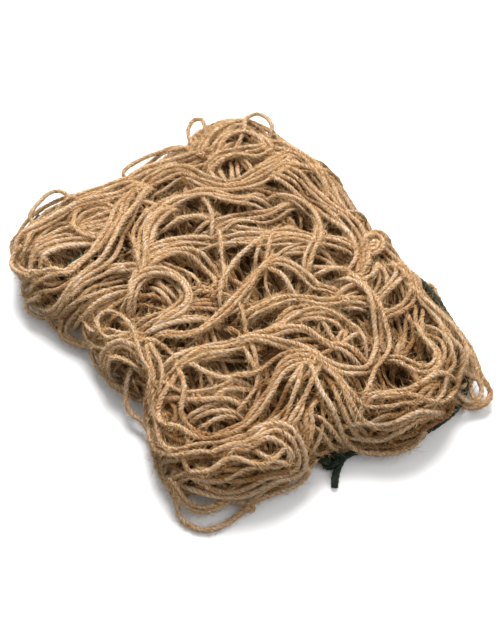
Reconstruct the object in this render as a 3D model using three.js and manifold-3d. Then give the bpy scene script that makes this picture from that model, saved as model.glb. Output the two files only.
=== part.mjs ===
// Jute plant support net, gathered and folded into a flat oblong pack, with its dark green edge cord.
// Millimetres, +Z up. The origin is the middle of the pack's box on the surface that it lies on,
// +X runs along the pack's long side and +Y along its short side.
import * as THREE from "three";
import { mergeVertices } from "three/addons/utils/BufferGeometryUtils.js";
import Module from "manifold-3d";

const wasm = await Module();
wasm.setup();

// Driving dimensions
const TWINE = 3.6; // diameter of the jute twine
const CORD = 4.4; // diameter of the green edge cord
const CORD_GAP = 0.45; // clearance between the cord and the net round it
const BED_TOP = 36; // height of the packed layers under the skeins that lie on top
const BED_BELLY = 14; // height at which the pack is widest
const BED_INSET = 1; // the packed layers lie this far inside the pack's outline
const BASE_INSET = 6; // the flat base lies this much further in
const SHOULDER = 20; // width over which the top rounds off to the sides
const TOP_POWER = 2.6; // how flat the top stays before it rounds off
const SIDE_POWER = 2.2; // how full the shoulder is
const LUMP = 1.5; // unevenness of the top
const WAVES = { x: 17, y: 14, slant: 23, lean: 1.4, start: 1.1, share: 0.7 }; // how the unevenness runs
const SUNK = 2.4; // a skein's foot reaches this far into what it lies on
const RIDGE = 0.92; // a skein stands this share of a twine's diameter above its bed
const GROOVE = 0.5; // depth of the groove along a skein, as a share of its height
const PITCH = 1.12; // spacing of neighbouring strands, in diameters
const SHIFT = new THREE.Vector2(2.6, 4.4); // brings the middle of the pack's box to the origin

// Resolution of the faceted solids
const OUTLINE_STEPS = 48;
const FOOT_RISES = [0, 0.3, 0.65];
const RING_SHARES = [1, 0.97, 0.9, 0.8, 0.66, 0.48, 0.28, 0.12];
const BAND_STEP = 15;
const LOOP_STEP = 9;
const LOOP_SIDES = 4;
const CORD_STEP = 11;
const CORD_SIDES = 8;
const KNOT_SIDES = 6;
const KNOT_STEPS = 10;
const BOWL_STEPS = 10;
const BOWL_RINGS = 6;
const WELD = 1e-4;

// The pack's outline at its widest, as points in plan, counter-clockwise from the +X end.
const OUTLINE = [
  [136, 45], [132, 72], [122, 95], [88, 102], [60, 105], [14, 104], [-8, 102], [-30, 104],
  [-57, 109], [-82, 107], [-104, 99], [-124, 97], [-139, 87], [-146, 64], [-139, 34], [-133, 5],
  [-131, -20], [-130, -46], [-128, -74], [-120, -104], [-102, -115], [-82, -117], [-60, -115], [-34, -107],
  [-9, -99], [20, -96], [47, -94], [75, -97], [98, -96], [112, -82], [118, -58], [119, -32],
  [119, -10], [125, 6], [134, 26],
];

// Skeins of the gathered net that lie on top: how many strands lie side by side, which layer they
// lie in, and the plan points that their middle follows.
const SKEINS = [
  { place: "turns along the -X end", strands: 4, layer: 0,
    path: [[-86, -103], [-108, -95], [-119, -64], [-121, -20], [-124, 18], [-131, 48]] },
  { place: "outer bend of the left corner", strands: 4, layer: 0,
    path: [[-58, -100], [-86, -100], [-102, -83], [-107, -56], [-98, -32]] },
  { place: "inner bend of the left corner", strands: 2, layer: 0,
    path: [[-60, -82], [-76, -90], [-88, -80], [-88, -62], [-78, -48]] },
  { place: "heavy band over the left corner", strands: 4, layer: 1,
    path: [[-94, 26], [-107, 4], [-102, -22], [-84, -38], [-66, -62], [-56, -86], [-51, -106]] },
  { place: "slanting band below the middle", strands: 5, layer: 0,
    path: [[-78, 24], [-85, 2], [-78, -22], [-56, -38], [-32, -52], [-10, -66]] },
  { place: "great arch", strands: 3, layer: 1,
    path: [[-109, 4], [-96, 21], [-76, 34], [-62, 57], [-40, 70], [-18, 68], [2, 50], [18, 36]] },
  { place: "arch inside it", strands: 3, layer: 0,
    path: [[-74, -16], [-74, 12], [-62, 36], [-50, 57], [-37, 58], [-30, 42], [-34, 20]] },
  { place: "upright under the arch", strands: 2, layer: 0,
    path: [[-45, 44], [-48, 24], [-52, 2], [-50, -20], [-42, -36]] },
  { place: "far edge, left", strands: 4, layer: 0,
    path: [[-104, 84], [-84, 92], [-60, 96], [-34, 92], [-8, 89]] },
  { place: "far edge, right", strands: 4, layer: 0,
    path: [[-16, 90], [18, 91], [50, 92], [80, 88], [106, 80]] },
  { place: "run behind the arch", strands: 3, layer: 1,
    path: [[-76, 78], [-44, 76], [-14, 77], [10, 78], [28, 70], [42, 60]] },
  { place: "ring at the far left corner", strands: 3, layer: 0,
    path: [[-102, 56], [-122, 56], [-130, 70], [-122, 84], [-107, 84], [-97, 68]] },
  { place: "bend beside the ring", strands: 3, layer: 0,
    path: [[-92, 84], [-76, 74], [-72, 56], [-82, 42], [-108, 32]] },
  { place: "lone slanting strands", strands: 2, layer: 1,
    path: [[-66, 20], [-38, 8], [-16, -4], [8, -22]] },
  { place: "long slant through the middle", strands: 3, layer: 0,
    path: [[-36, 44], [-18, 28], [-2, 10], [10, -12], [20, -36]] },
  { place: "ring below the middle", strands: 3, layer: 1,
    path: [[-12, -64], [-31, -55], [-34, -40], [-18, -29], [-2, -35], [3, -52], [2, -68]] },
  { place: "bend above the ring", strands: 3, layer: 0,
    path: [[-46, -26], [-34, -12], [-18, -8], [-6, -16], [-2, -32]] },
  { place: "small loop near the front edge", strands: 1, layer: 2,
    path: [[54, -78], [26, -77], [2, -71], [-13, -68], [-22, -74], [-18, -83], [-4, -81], [3, -64]] },
  { place: "run over the left of the front edge", strands: 3, layer: 0,
    path: [[-54, -60], [-44, -80], [-26, -90], [-4, -87], [16, -80]] },
  { place: "S bend at the lower right", strands: 3, layer: 1,
    path: [[2, -68], [18, -60], [34, -60], [52, -69], [70, -73], [82, -67], [88, -52], [84, -34]] },
  { place: "front edge, right", strands: 4, layer: 0,
    path: [[8, -80], [32, -86], [58, -88], [80, -84], [94, -71], [100, -50], [92, -26], [76, -6]] },
  { place: "fan, near side", strands: 4, layer: 2,
    path: [[62, 8], [74, -12], [86, -34], [93, -54], [93, -72]] },
  { place: "fan, right side", strands: 3, layer: 1,
    path: [[70, 4], [86, -8], [102, -20], [111, -40]] },
  { place: "fan, left side", strands: 4, layer: 1,
    path: [[64, 6], [48, -16], [38, -38], [34, -60]] },
  { place: "fan, under the left side", strands: 3, layer: 0,
    path: [[40, 6], [33, -20], [19, -44], [6, -66]] },
  { place: "long sweep to the right end", strands: 3, layer: 1,
    path: [[22, 50], [34, 64], [48, 66], [66, 58], [84, 40], [98, 23], [114, 12]] },
  { place: "bend of the right end", strands: 4, layer: 0,
    path: [[96, 86], [116, 72], [124, 50], [120, 28], [106, 14], [82, 11]] },
  { place: "bend inside it", strands: 3, layer: 0,
    path: [[64, 76], [90, 70], [103, 54], [98, 36], [78, 26]] },
  { place: "run to the right end", strands: 3, layer: 1,
    path: [[60, 10], [80, 7], [100, 2], [115, -8]] },
  { place: "upright right of the middle", strands: 3, layer: 0,
    path: [[54, 58], [52, 36], [50, 14], [42, -8]] },
  { place: "wave right of the arch", strands: 3, layer: 0,
    path: [[2, 44], [20, 34], [38, 40], [56, 44], [78, 38]] },
  { place: "block at the near corner", strands: 4, layer: 0,
    path: [[112, -28], [110, -54], [101, -76], [84, -86]] },
];

// Turns that show on the pack's sides: directions in degrees from +X, heights, and how many strands
// lie one above another.
const SIDE_TURNS = [
  { side: "front, low", from: -150, to: -92, z_from: 8, z_to: 10, strands: 2 },
  { side: "front, upper", from: -126, to: -64, z_from: 23, z_to: 19, strands: 2 },
  { side: "front, right", from: -86, to: -44, z_from: 8, z_to: 11, strands: 2 },
  { side: "near end", from: -36, to: 12, z_from: 20, z_to: 13, strands: 2 },
  { side: "near end, right", from: 10, to: 42, z_from: 12, z_to: 20, strands: 2 },
  { side: "back, right", from: 62, to: 98, z_from: 9, z_to: 7, strands: 2 },
  { side: "back, left", from: 94, to: 138, z_from: 25, z_to: 24, strands: 2 },
  { side: "far end", from: 148, to: 206, z_from: 8, z_to: 10, strands: 2 },
];

// Single strands that stand out of the pack as open loops, from one foot in the pack to the other.
const LOOPS = [
  { place: "far left corner",
    path: [[-114, 72, 26], [-128, 85, 33], [-125, 95, 36], [-117, 97, 36], [-108, 92, 35], [-100, 78, 28]] },
  { place: "left, high",
    path: [[-120, 40, 26], [-138, 44, 33], [-145, 53, 34], [-145, 62, 34], [-138, 68, 33], [-120, 70, 26]] },
  { place: "left, middle",
    path: [[-114, 28, 26], [-132, 19, 33], [-136, 6, 34], [-134, -8, 34], [-128, -17, 33], [-110, -24, 26]] },
  { place: "left, low",
    path: [[-110, -50, 26], [-128, -55, 33], [-135, -70, 33], [-130, -86, 31], [-108, -94, 24]] },
  { place: "front, left",
    path: [[-90, -98, 14], [-83, -113, 8], [-70, -115, 6], [-56, -111, 7], [-44, -96, 14]] },
  { place: "front, left of middle",
    path: [[-28, -88, 12], [-17, -98, 6], [0, -97, 5], [12, -84, 11]] },
  { place: "front, middle",
    path: [[12, -84, 9], [23, -94, 5], [38, -94, 4], [50, -82, 10]] },
  { place: "front, right",
    path: [[46, -82, 12], [60, -94, 6], [77, -97, 5], [90, -82, 10]] },
  { place: "near corner, outer",
    path: [[76, -82, 9], [90, -99, 3.5], [107, -100, 2.4], [119, -88, 2.4], [119, -70, 4], [98, -58, 8]] },
  { place: "near corner, inner",
    path: [[84, -76, 9], [99, -95, 7], [110, -86, 7], [112, -70, 8], [94, -56, 14]] },
  { place: "near end",
    path: [[100, -66, 9], [117, -58, 5], [122, -42, 5], [119, -26, 8], [100, -16, 14]] },
  { place: "near end, right",
    path: [[108, 8, 9], [126, 11, 4], [136, 30, 4], [136, 54, 6], [112, 60, 14]] },
  { place: "right corner",
    path: [[108, 78, 21], [128, 96, 14], [139, 94, 13], [140, 82, 13], [114, 66, 21]] },
  { place: "far edge",
    path: [[2, 84, 28], [8, 100, 34], [15, 104, 36], [22, 100, 34], [32, 82, 28]] },
];

// Where the layers leave a hollow between the skeins: plan place, half axes and depth below the top.
const HOLLOWS = [
  { x: -95, y: 4, along: 8, across: 12, deep: 10 },
  { x: -62, y: 14, along: 9, across: 14, deep: 9 },
  { x: -12, y: 54, along: 11, across: 8, deep: 11 },
  { x: 34, y: 20, along: 16, across: 12, deep: 7 },
  { x: 100, y: 48, along: 9, across: 10, deep: 9 },
  { x: -76, y: -72, along: 8, across: 12, deep: 12 },
  { x: -113, y: 70, along: 6, across: 7, deep: 9 },
];

// The green cord's route: from its free end on the surface, round the near end and the back of the
// pack at its foot, in at the far end and up to the hollow in the left corner, where it shows again.
const CORD_ROUTE = [
  [133, -17, 2.3], [128, -13, 2.4], [124, -8, 2.8], [121, -2, 4], [122, 8, 5], [126, 20, 6],
  [130, 34, 7], [133, 50, 7], [133, 64, 8], [130, 76, 9], [124, 85, 11], [114, 92.5, 14],
  [103, 98, 18], [90, 101, 23], [74, 102, 27], [56, 104, 26], [36, 105, 21], [10, 105, 16],
  [-30, 105, 15], [-60, 110, 15], [-88, 107, 15], [-114, 101, 15], [-138, 90, 15], [-148, 66, 16],
  [-141, 36, 17], [-135, 8, 18], [-131, -14, 20], [-121, -32, 23], [-106, -42, 26], [-93, -48, 28],
  [-85, -56, 29.5], [-80, -65, 30], [-77, -74, 30], [-75, -83, 29], [-72, -92, 25],
];
const KNOT_AT = 3; // the row of the route where the cord is knotted
const KNOT_RADIUS = 3.4;

// A closed solid through rings of points, with a fan over each end.
function loft(rings) {
  const sides = rings[0].length;
  const points = rings.flat();
  const index = [];
  for (let r = 0; r + 1 < rings.length; r++)
    for (let s = 0; s < sides; s++) {
      const a = r * sides + s;
      const b = r * sides + ((s + 1) % sides);
      index.push(a, b, b + sides, a, b + sides, a + sides);
    }
  const last = (rings.length - 1) * sides;
  const foot = points.push(middleOf(rings[0])) - 1;
  const head = points.push(middleOf(rings.at(-1))) - 1;
  for (let s = 0; s < sides; s++) {
    const next = (s + 1) % sides;
    index.push(foot, next, s, head, last + s, last + next);
  }
  return new THREE.BufferGeometry().setFromPoints(points).setIndex(index);
}

function middleOf(ring) {
  return ring.reduce((sum, p) => sum.add(p), new THREE.Vector3()).divideScalar(ring.length);
}

// three.js geometry to a solid that can be joined and cut, and back again.
function solidOf(geometry) {
  const bare = geometry.clone();
  bare.deleteAttribute("normal");
  bare.deleteAttribute("uv");
  const merged = mergeVertices(bare, WELD);
  return new wasm.Manifold(
    new wasm.Mesh({
      numProp: 3,
      vertProperties: new Float32Array(merged.attributes.position.array),
      triVerts: new Uint32Array(merged.index.array),
    }),
  );
}

function geometryOf(solid) {
  const mesh = solid.getMesh();
  const geometry = new THREE.BufferGeometry();
  geometry.setAttribute("position", new THREE.BufferAttribute(new Float32Array(mesh.vertProperties), 3));
  geometry.setIndex(new THREE.BufferAttribute(new Uint32Array(mesh.triVerts), 1));
  geometry.computeVertexNormals();
  return geometry;
}

const joined = (solids) => solids.reduce((all, next) => all.add(next));

// The edge of the packed layers, as a closed line in plan.
const edgeCurve = new THREE.CatmullRomCurve3(OUTLINE.map(([x, y]) => new THREE.Vector3(x, y, 0)), true);
const EDGE = edgeCurve.getPoints(OUTLINE.length * 8).map((p) => p.multiplyScalar(1 - BED_INSET / p.length()));

// Where a ray from the middle of the pack meets the edge.
function edgeReach(angle) {
  const ray = new THREE.Vector2(Math.cos(angle), Math.sin(angle));
  for (let i = 0; i + 1 < EDGE.length; i++) {
    const before = ray.cross(EDGE[i]);
    const after = ray.cross(EDGE[i + 1]);
    if (before <= 0 && after > 0 && ray.dot(EDGE[i]) > 0)
      return ray.dot(EDGE[i].clone().lerp(EDGE[i + 1], before / (before - after)));
  }
  return EDGE[0].length();
}

// How far a plan point lies inside the edge.
function edgeDistance(x, y) {
  if (Math.hypot(x, y) >= edgeReach(Math.atan2(y, x))) return 0;
  return Math.min(...EDGE.map((p) => Math.hypot(p.x - x, p.y - y)));
}

// Low waves that keep the top from being a smooth cushion.
function lump(x, y) {
  const cross = Math.sin(x / WAVES.x + WAVES.start) * Math.cos(y / WAVES.y);
  return LUMP * (cross + WAVES.share * Math.sin((x - WAVES.lean * y) / WAVES.slant));
}

// Height of the packed layers over a plan point, on the upper side of the pack.
function bedHeight(x, y) {
  const outward = 1 - Math.min(1, edgeDistance(x, y) / SHOULDER);
  const rise = (1 - outward ** TOP_POWER) ** (1 / SIDE_POWER);
  return BED_BELLY + (BED_TOP - BED_BELLY + lump(x, y)) * rise;
}

// The direction that faces out of the packed layers over a plan point.
function bedNormal(x, y) {
  const slope = (dx, dy) => (bedHeight(x - dx, y - dy) - bedHeight(x + dx, y + dy)) / (2 * TWINE);
  return new THREE.Vector3(slope(TWINE, 0), slope(0, TWINE), 1).normalize();
}

// How far in from the widest outline the pack's side lies at a height.
function sideInset(z) {
  if (z < BED_BELLY) return BASE_INSET * (1 - Math.sqrt(1 - (1 - z / BED_BELLY) ** 2));
  const rise = Math.min(1, (z - BED_BELLY) / (BED_TOP - BED_BELLY));
  return SHOULDER * (1 - (1 - rise ** SIDE_POWER) ** (1 / TOP_POWER));
}

function sidePoint(angle, z) {
  const reach = edgeReach(angle) - sideInset(z);
  return new THREE.Vector3(reach * Math.cos(angle), reach * Math.sin(angle), z);
}

// The packed layers: a flat base, a rounded side and an uneven top.
function packedLayers() {
  const angles = Array.from({ length: OUTLINE_STEPS }, (_, i) => (2 * Math.PI * i) / OUTLINE_STEPS);
  const lower = FOOT_RISES.map((rise) => angles.map((angle) => sidePoint(angle, rise * BED_BELLY)));
  const upper = RING_SHARES.map((share) =>
    angles.map((angle) => {
      const x = edgeReach(angle) * share * Math.cos(angle);
      const y = edgeReach(angle) * share * Math.sin(angle);
      return new THREE.Vector3(x, y, bedHeight(x, y));
    }),
  );
  return solidOf(loft([...lower, ...upper]));
}

// A bowl-shaped hollow, sunk from a little above the highest layers.
function hollow({ x, y, along, across, deep }) {
  const crown = 2 * LUMP;
  const bowl = new THREE.SphereGeometry(1, BOWL_STEPS, BOWL_RINGS);
  bowl.scale(along, across, deep + crown);
  bowl.translate(x, y, BED_TOP + crown);
  return solidOf(bowl);
}

// Cross-section of strands lying side by side: two ridges, or one for a lone strand, on a flat foot
// sunk into the bed.
function ridges(strands, crest) {
  const count = Math.min(strands, 2);
  const width = strands * TWINE * PITCH;
  const section = [[-width / 2, -SUNK]];
  for (let i = 0; i < count; i++) {
    const last = i === count - 1;
    section.push([(width * (i + 0.5)) / count - width / 2, crest]);
    section.push([(width * (i + 1)) / count - width / 2, last ? -SUNK : crest - TWINE * GROOVE]);
  }
  return section;
}

// A skein along a line of points, each with the direction that faces out of the pack there. Its ends
// dip into the bed.
function band(line, strands, layer) {
  const crest = (layer + 1) * TWINE * RIDGE;
  const section = ridges(strands, crest);
  const rings = line.map(({ at, out }, i) => {
    const before = line[Math.max(i - 1, 0)].at;
    const after = line[Math.min(i + 1, line.length - 1)].at;
    const along = new THREE.Vector3().subVectors(after, before).normalize();
    const across = new THREE.Vector3().crossVectors(along, out).normalize();
    const dip = i === 0 || i === line.length - 1 ? crest + SUNK / 2 : 0;
    return section.map(([a, b]) => at.clone().addScaledVector(across, a).addScaledVector(out, b - dip));
  });
  return solidOf(loft(rings));
}

function skein({ strands, layer, path }) {
  const plan = new THREE.CatmullRomCurve3(path.map(([x, y]) => new THREE.Vector3(x, y, 0)));
  const steps = Math.ceil(plan.getLength() / BAND_STEP);
  const line = plan.getSpacedPoints(steps).map(({ x, y }) => ({
    at: new THREE.Vector3(x, y, bedHeight(x, y)),
    out: bedNormal(x, y),
  }));
  return band(line, strands, layer);
}

function sideTurn({ from, to, z_from, z_to, strands }) {
  const [start, end] = [from, to].map(THREE.MathUtils.degToRad);
  const steps = Math.ceil((Math.abs(end - start) * edgeReach((start + end) / 2)) / BAND_STEP);
  const line = Array.from({ length: steps + 1 }, (_, i) => {
    const angle = THREE.MathUtils.lerp(start, end, i / steps);
    const at = sidePoint(angle, THREE.MathUtils.lerp(z_from, z_to, i / steps));
    return { at, out: new THREE.Vector3(Math.cos(angle), Math.sin(angle), 0) };
  });
  return band(line, strands, 0);
}

// A round strand or cord along a curve.
function strand(curve, diameter, sides, step) {
  const corners = Array.from({ length: sides }, (_, s) => {
    const turn = (2 * Math.PI * (s + 0.5)) / sides;
    return new THREE.Vector2(Math.cos(turn), Math.sin(turn)).multiplyScalar(diameter / 2);
  });
  const steps = Math.ceil(curve.getLength() / step);
  const shape = new THREE.Shape(corners);
  return solidOf(new THREE.ExtrudeGeometry(shape, { steps, extrudePath: curve, bevelEnabled: false }));
}

const curveThrough = (path) => new THREE.CatmullRomCurve3(path.map((p) => new THREE.Vector3(...p)));
const cordCurve = curveThrough(CORD_ROUTE);

// The knot at the cord's free end is a turn of the cord round itself.
function knot(thickness) {
  const ring = new THREE.TorusGeometry(KNOT_RADIUS, thickness / 2, KNOT_SIDES, KNOT_STEPS);
  ring.rotateY(Math.PI / 2);
  const [x, y] = CORD_ROUTE[KNOT_AT];
  ring.translate(x, y, KNOT_RADIUS + thickness / 2);
  return solidOf(ring);
}

const cordOf = (thickness) => strand(cordCurve, thickness, CORD_SIDES, CORD_STEP).add(knot(thickness));

function netPack() {
  const layers = HOLLOWS.reduce((pack, place) => pack.subtract(hollow(place)), packedLayers());
  const pack = joined([
    layers,
    ...SKEINS.map(skein),
    ...SIDE_TURNS.map(sideTurn),
    ...LOOPS.map(({ path }) => strand(curveThrough(path), TWINE, LOOP_SIDES, LOOP_STEP)),
  ]);
  return pack.subtract(cordOf(CORD + 2 * CORD_GAP));
}

function piece(name, solid, material) {
  const mesh = new THREE.Mesh(geometryOf(solid), material);
  mesh.name = name;
  mesh.position.set(SHIFT.x, SHIFT.y, 0);
  return mesh;
}

const jute = new THREE.MeshStandardMaterial({ color: 0xa6815b, roughness: 0.9, metalness: 0 });
const green = new THREE.MeshStandardMaterial({ color: 0x2c3a30, roughness: 0.8, metalness: 0 });

const net = new THREE.Group();
net.add(piece("net_pack", netPack(), jute));
net.add(piece("edge_cord", cordOf(CORD), green));

export default net;
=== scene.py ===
"""Jute plant support net, gathered and folded into a flat oblong pack, with its dark green edge cord.

Lengths are millimetres, in the plan of the pack, and become metres where a mesh is made. The pack is
laid up as the real one is: strand after strand is laid over what lies there already and comes to rest on
it, first the runs underneath, then the buried turns and the turns round the sides, then the skeins that
show on top. Loose loops, knots and fibres come last.
"""
import math

import bpy
import numpy as np
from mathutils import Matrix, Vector


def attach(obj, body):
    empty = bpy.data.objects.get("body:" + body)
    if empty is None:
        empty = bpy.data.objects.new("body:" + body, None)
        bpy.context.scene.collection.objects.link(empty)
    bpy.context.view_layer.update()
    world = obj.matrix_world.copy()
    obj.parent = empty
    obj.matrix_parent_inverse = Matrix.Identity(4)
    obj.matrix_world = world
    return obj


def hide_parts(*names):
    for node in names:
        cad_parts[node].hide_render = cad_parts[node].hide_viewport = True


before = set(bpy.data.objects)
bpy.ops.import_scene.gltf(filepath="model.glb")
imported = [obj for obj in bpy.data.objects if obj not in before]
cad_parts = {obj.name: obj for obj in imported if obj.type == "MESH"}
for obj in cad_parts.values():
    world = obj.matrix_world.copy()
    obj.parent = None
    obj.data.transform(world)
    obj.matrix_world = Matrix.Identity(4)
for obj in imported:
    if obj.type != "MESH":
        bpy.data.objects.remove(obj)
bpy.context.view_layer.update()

MM = 0.001
SHIFT = np.array([2.6, 4.4, 0.0])  # brings the middle of the pack's box to the origin
UP = np.array([0.0, 0.0, 1.0])
BODY = "root"
rng = np.random.default_rng(11)

# Twine and cord
TWINE = 3.2  # diameter of the jute twine
CORD = 4.4  # diameter of the green edge cord
THINNEST, THICKEST = 0.84, 1.12  # how the strands differ in thickness
PLIES = 3
CREST = 1.02  # radius over a ply, as a share of the twine's radius
GROOVE = 0.87  # and in the groove between plies
LAY = 9.0  # length in which the twine's plies turn once round
BURIED_LAY = 24.0
CORD_LAY = 11.0
LAY_LEAST, LAY_SPAN = 0.85, 0.4  # the lay differs between strands, from the first share up by the second
UNEVEN = 0.045  # how much the twine's thickness varies along it
SWELLS = ((9.1, 40), (3.7, 90))  # length of the thicker places, and how they move with the thickness
UV_RUN = 16.0  # one unit of the strands' surface pattern along them
UV_SHIFT = 17  # how far the pattern moves between strands
FINE_STEP = 1.7  # spacing of the rings along a strand that shows
BURIED_STEP = 5.2  # and along a buried one
ASKEW = (0.31, 0.17, 0.94)  # a direction that no strand starts in

# Curves
SPAN_SAMPLES = 16  # samples between two points of a smooth line, before they are spaced evenly
LEAST_SAMPLES = 4  # no line has fewer samples
SWAY_SHARES = (1.0, 0.57, 0.34)  # a sway has three waves: their spans, as shares of the longest
SWAY_SUM = 1.6  # what the three waves come to together

# Packed layers that the strands are laid on
EDGE_STEP = 2.0
EDGE_INSET = 8.0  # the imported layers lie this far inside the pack's outline
EDGE_PASSES = 60  # passes that even out the direction into the pack
BED_TOP = 21.5
BED_BELLY = 15.0
BED_FOOT = 2.6
BASE_INSET = 15.0
SHOULDER = 7.0  # width over which the top rounds off to the sides
SECTION_SAMPLES = 40  # samples of each quarter turn in the side's section
LUMP = 1.6  # unevenness of the top
LUMP_X, LUMP_Y, LUMP_START = 17, 14, 1.1  # its waves along and across the pack
SLANT_SHARE, SLANT_LEAN, SLANT_RUN = 0.7, 1.4, 23  # and its waves at a slant
HOLLOW_STEEP = 3  # how steeply the hollows' sides fall
HEART_INSET = 3.0  # the solid heart of the pack lies this far below the strands' bed
HEART_SKIP = 3  # it has a corner at each third sample of the edge
HEART_MIDDLE = 0.04  # share of the way out from the middle at which its first ring lies
HEART_TOP_RINGS, HEART_SIDE_RINGS = 16, 12
HEART_UNDER = (0.6, 0.2)  # shares of the way out at which the rings underneath lie

# Places in the photograph
SIGHT_PASSES = 14  # passes that bring a place onto its sight line
SIGHT_STEP = 0.7  # share of the miss that each pass makes good
MISS = 2.0  # a place that misses its sight line by more is looked for on the near sides
SIDE_REACH = 14.0  # down to this far past the edge
FACING = 0.15  # an edge is near if the way into the pack points less than this toward the camera

# Laying up
MAP_X, MAP_Y = 200, 180  # half the length and width of the map of the pile
MAP_MARGIN = 2  # cells at its border that no strand's middle comes to
SEAT = 0.7  # a strand's middle comes to rest this share of its radius above what it lies on
BEND = 0.03  # how sharply a strand bends over what it crosses, in 1/mm
BRIDGE = 16.0  # length over which a strand bridges a dip
REST_PASSES, LINE_PASSES = 12, 4  # passes that take short kinks out of its heights and its line
FIRM = 13.0  # strands piled higher than this are pressed together
PRESSED = 6.0  # and never rise further above that than this
LOWEST = 0.6  # no strand's middle lies lower than this share of its diameter
TUCKED = -4.0  # a strand's ends go down to this height in the pack
TUCK_RUN = 20.0  # over this length
ENDS_RUN_ON = 12.0  # and run on this far past where they are last seen
SIDE_PRESS = 0.42  # on the sides the pile is this much flatter than on top
NEAR = 6  # strands lie deep if they are well below the highest strand within this distance
DEEP = 13.0  # and fully so this far below it
BURIED_DEPTH = 0.75  # buried turns lie at least this deep, from 0 to 1, and so take at least this share of the painted shade of deep strands
SPREAD, SWAY = 1.24, 1.9  # spacing in diameters and sway of strands that are laid by chance
SWAY_RUN = 85  # length over which they sway
SKEIN_SWAY = 1.3  # the sway of those that are placed by the photograph
GATHER, GATHER_RUN = 0.3, 130  # how much a skein draws together and parts, and over what length
SPLAY, SPLAY_RUN = 6, 28  # how far its ends part, and over what length

# Runs under the pack
UNDER_SWAY_RUN = 120  # length over which they sway
BASE_X, BASE_Y = (-118, 122), (-110, 112)  # runs across, which the pack rests on
BASE_SPACING = 1.2  # in diameters
BASE_SWAY = 4
BASE_OVER = 3.0  # they reach this far past the foot of the side
BASE_LEAST = 8  # a run with no more samples than this is left out
BOTTOM_X, BOTTOM_Y = (-172, 170), (-122, 124)  # runs along, which close the pack
BOTTOM_SPACING = 1.12
BOTTOM_SWAY = 6
BOTTOM_POINTS = 19
PRESSED_IN = 1.0  # they keep this height under what follows

# Turns laid by chance: how many, and the ranges that their places and sizes are drawn from
TRIALS = 8  # places tried for each buried turn, of which the emptiest is kept
CROWD_STEP = 4.0  # steps along a path at which the pile is looked at
CLEAR = 6.0  # how strongly these turns keep out of the hollows
TURN_STRANDS = (1, 4)  # strands side by side, up to one fewer than the last number
BOWS = 44
BOW_X, BOW_Y = (-100, 96), (-74, 76)
BOW_LONG, BOW_SHORT = (24, 62), (16, 38)
BOW_LEAN = 0.5  # in radians
BOW_TURN = (2.4, 4.6)  # in radians, to either side
BOW_POINTS = 12
INNER_SIDE_RUNS, OUTER_SIDE_RUNS = 14, 8
SIDE_LENGTH, SIDE_SKIP = (60, 190), 4  # in samples of the edge
SIDE_LEVEL = (-31, -1)  # how far in from the edge, below 0 down the side
SIDE_SWAY, SIDE_SWAY_RUN = 4, 170
BIGHTS = 22
BIGHT_LENGTH, BIGHT_SKIP = (14, 34), 2  # in samples of the edge
BIGHT_TOP, BIGHT_DROP = 16, (22, 42)  # how far in from the edge its feet lie, and how far it hangs from them
BIGHT_ROUND = 0.6  # the lower, the fuller its curve
LAYER_STRAYS = (8, 6, 0, 0)  # stray strands on each layer
STRAY_TRIALS = 3
STAY = 70.0  # how strongly stray strands keep off the sides
STRAY_X, STRAY_Y = (-105, 105), (-78, 82)
STRAY_STEPS, STRAY_STEP = (5, 9), 15  # how many steps, and the length of one
STRAY_BEND, STRAY_WANDER = 0.4, 0.25  # its turn at a step in radians: steady, and by chance

# The pack's outline at its widest, as points in plan, counter-clockwise from the +X end.
OUTLINE = [
    (136, 45), (132, 72), (122, 95), (88, 102), (60, 105), (14, 104), (-8, 102), (-30, 104), (-57, 109),
    (-82, 107), (-104, 99), (-124, 97), (-139, 87), (-146, 64), (-139, 34), (-133, 5), (-131, -20),
    (-130, -46), (-128, -74), (-120, -104), (-102, -115), (-82, -117), (-60, -115), (-34, -107),
    (-9, -99), (20, -96), (47, -94), (75, -97), (98, -96), (112, -82), (118, -58), (119, -32),
    (119, -10), (125, 6), (134, 26),
]

# Where the pack's edge is drawn in, or fuller if the depth is below 0: plan place, reach and depth.
DENTS = [
    (112, -88, 26, 7), (42, -95, 14, 5), (-28, -104, 16, 7), (-52, -112, 24, 8), (-92, -114, 20, 5),
    (-110, -112, 28, 3), (-124, -88, 34, -7), (-131, -40, 40, -7.6), (-133, 0, 44, -7.8),
    (-138, 75, 44, -9), (-146, 70, 24, -5), (-90, 105, 44, -10.5), (-38, 104, 30, -2),
    (10, 103, 44, -9.5), (64, 105, 30, -4.5), (126, 86, 18, 5), (122, 0, 20, 6),
]

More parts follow.
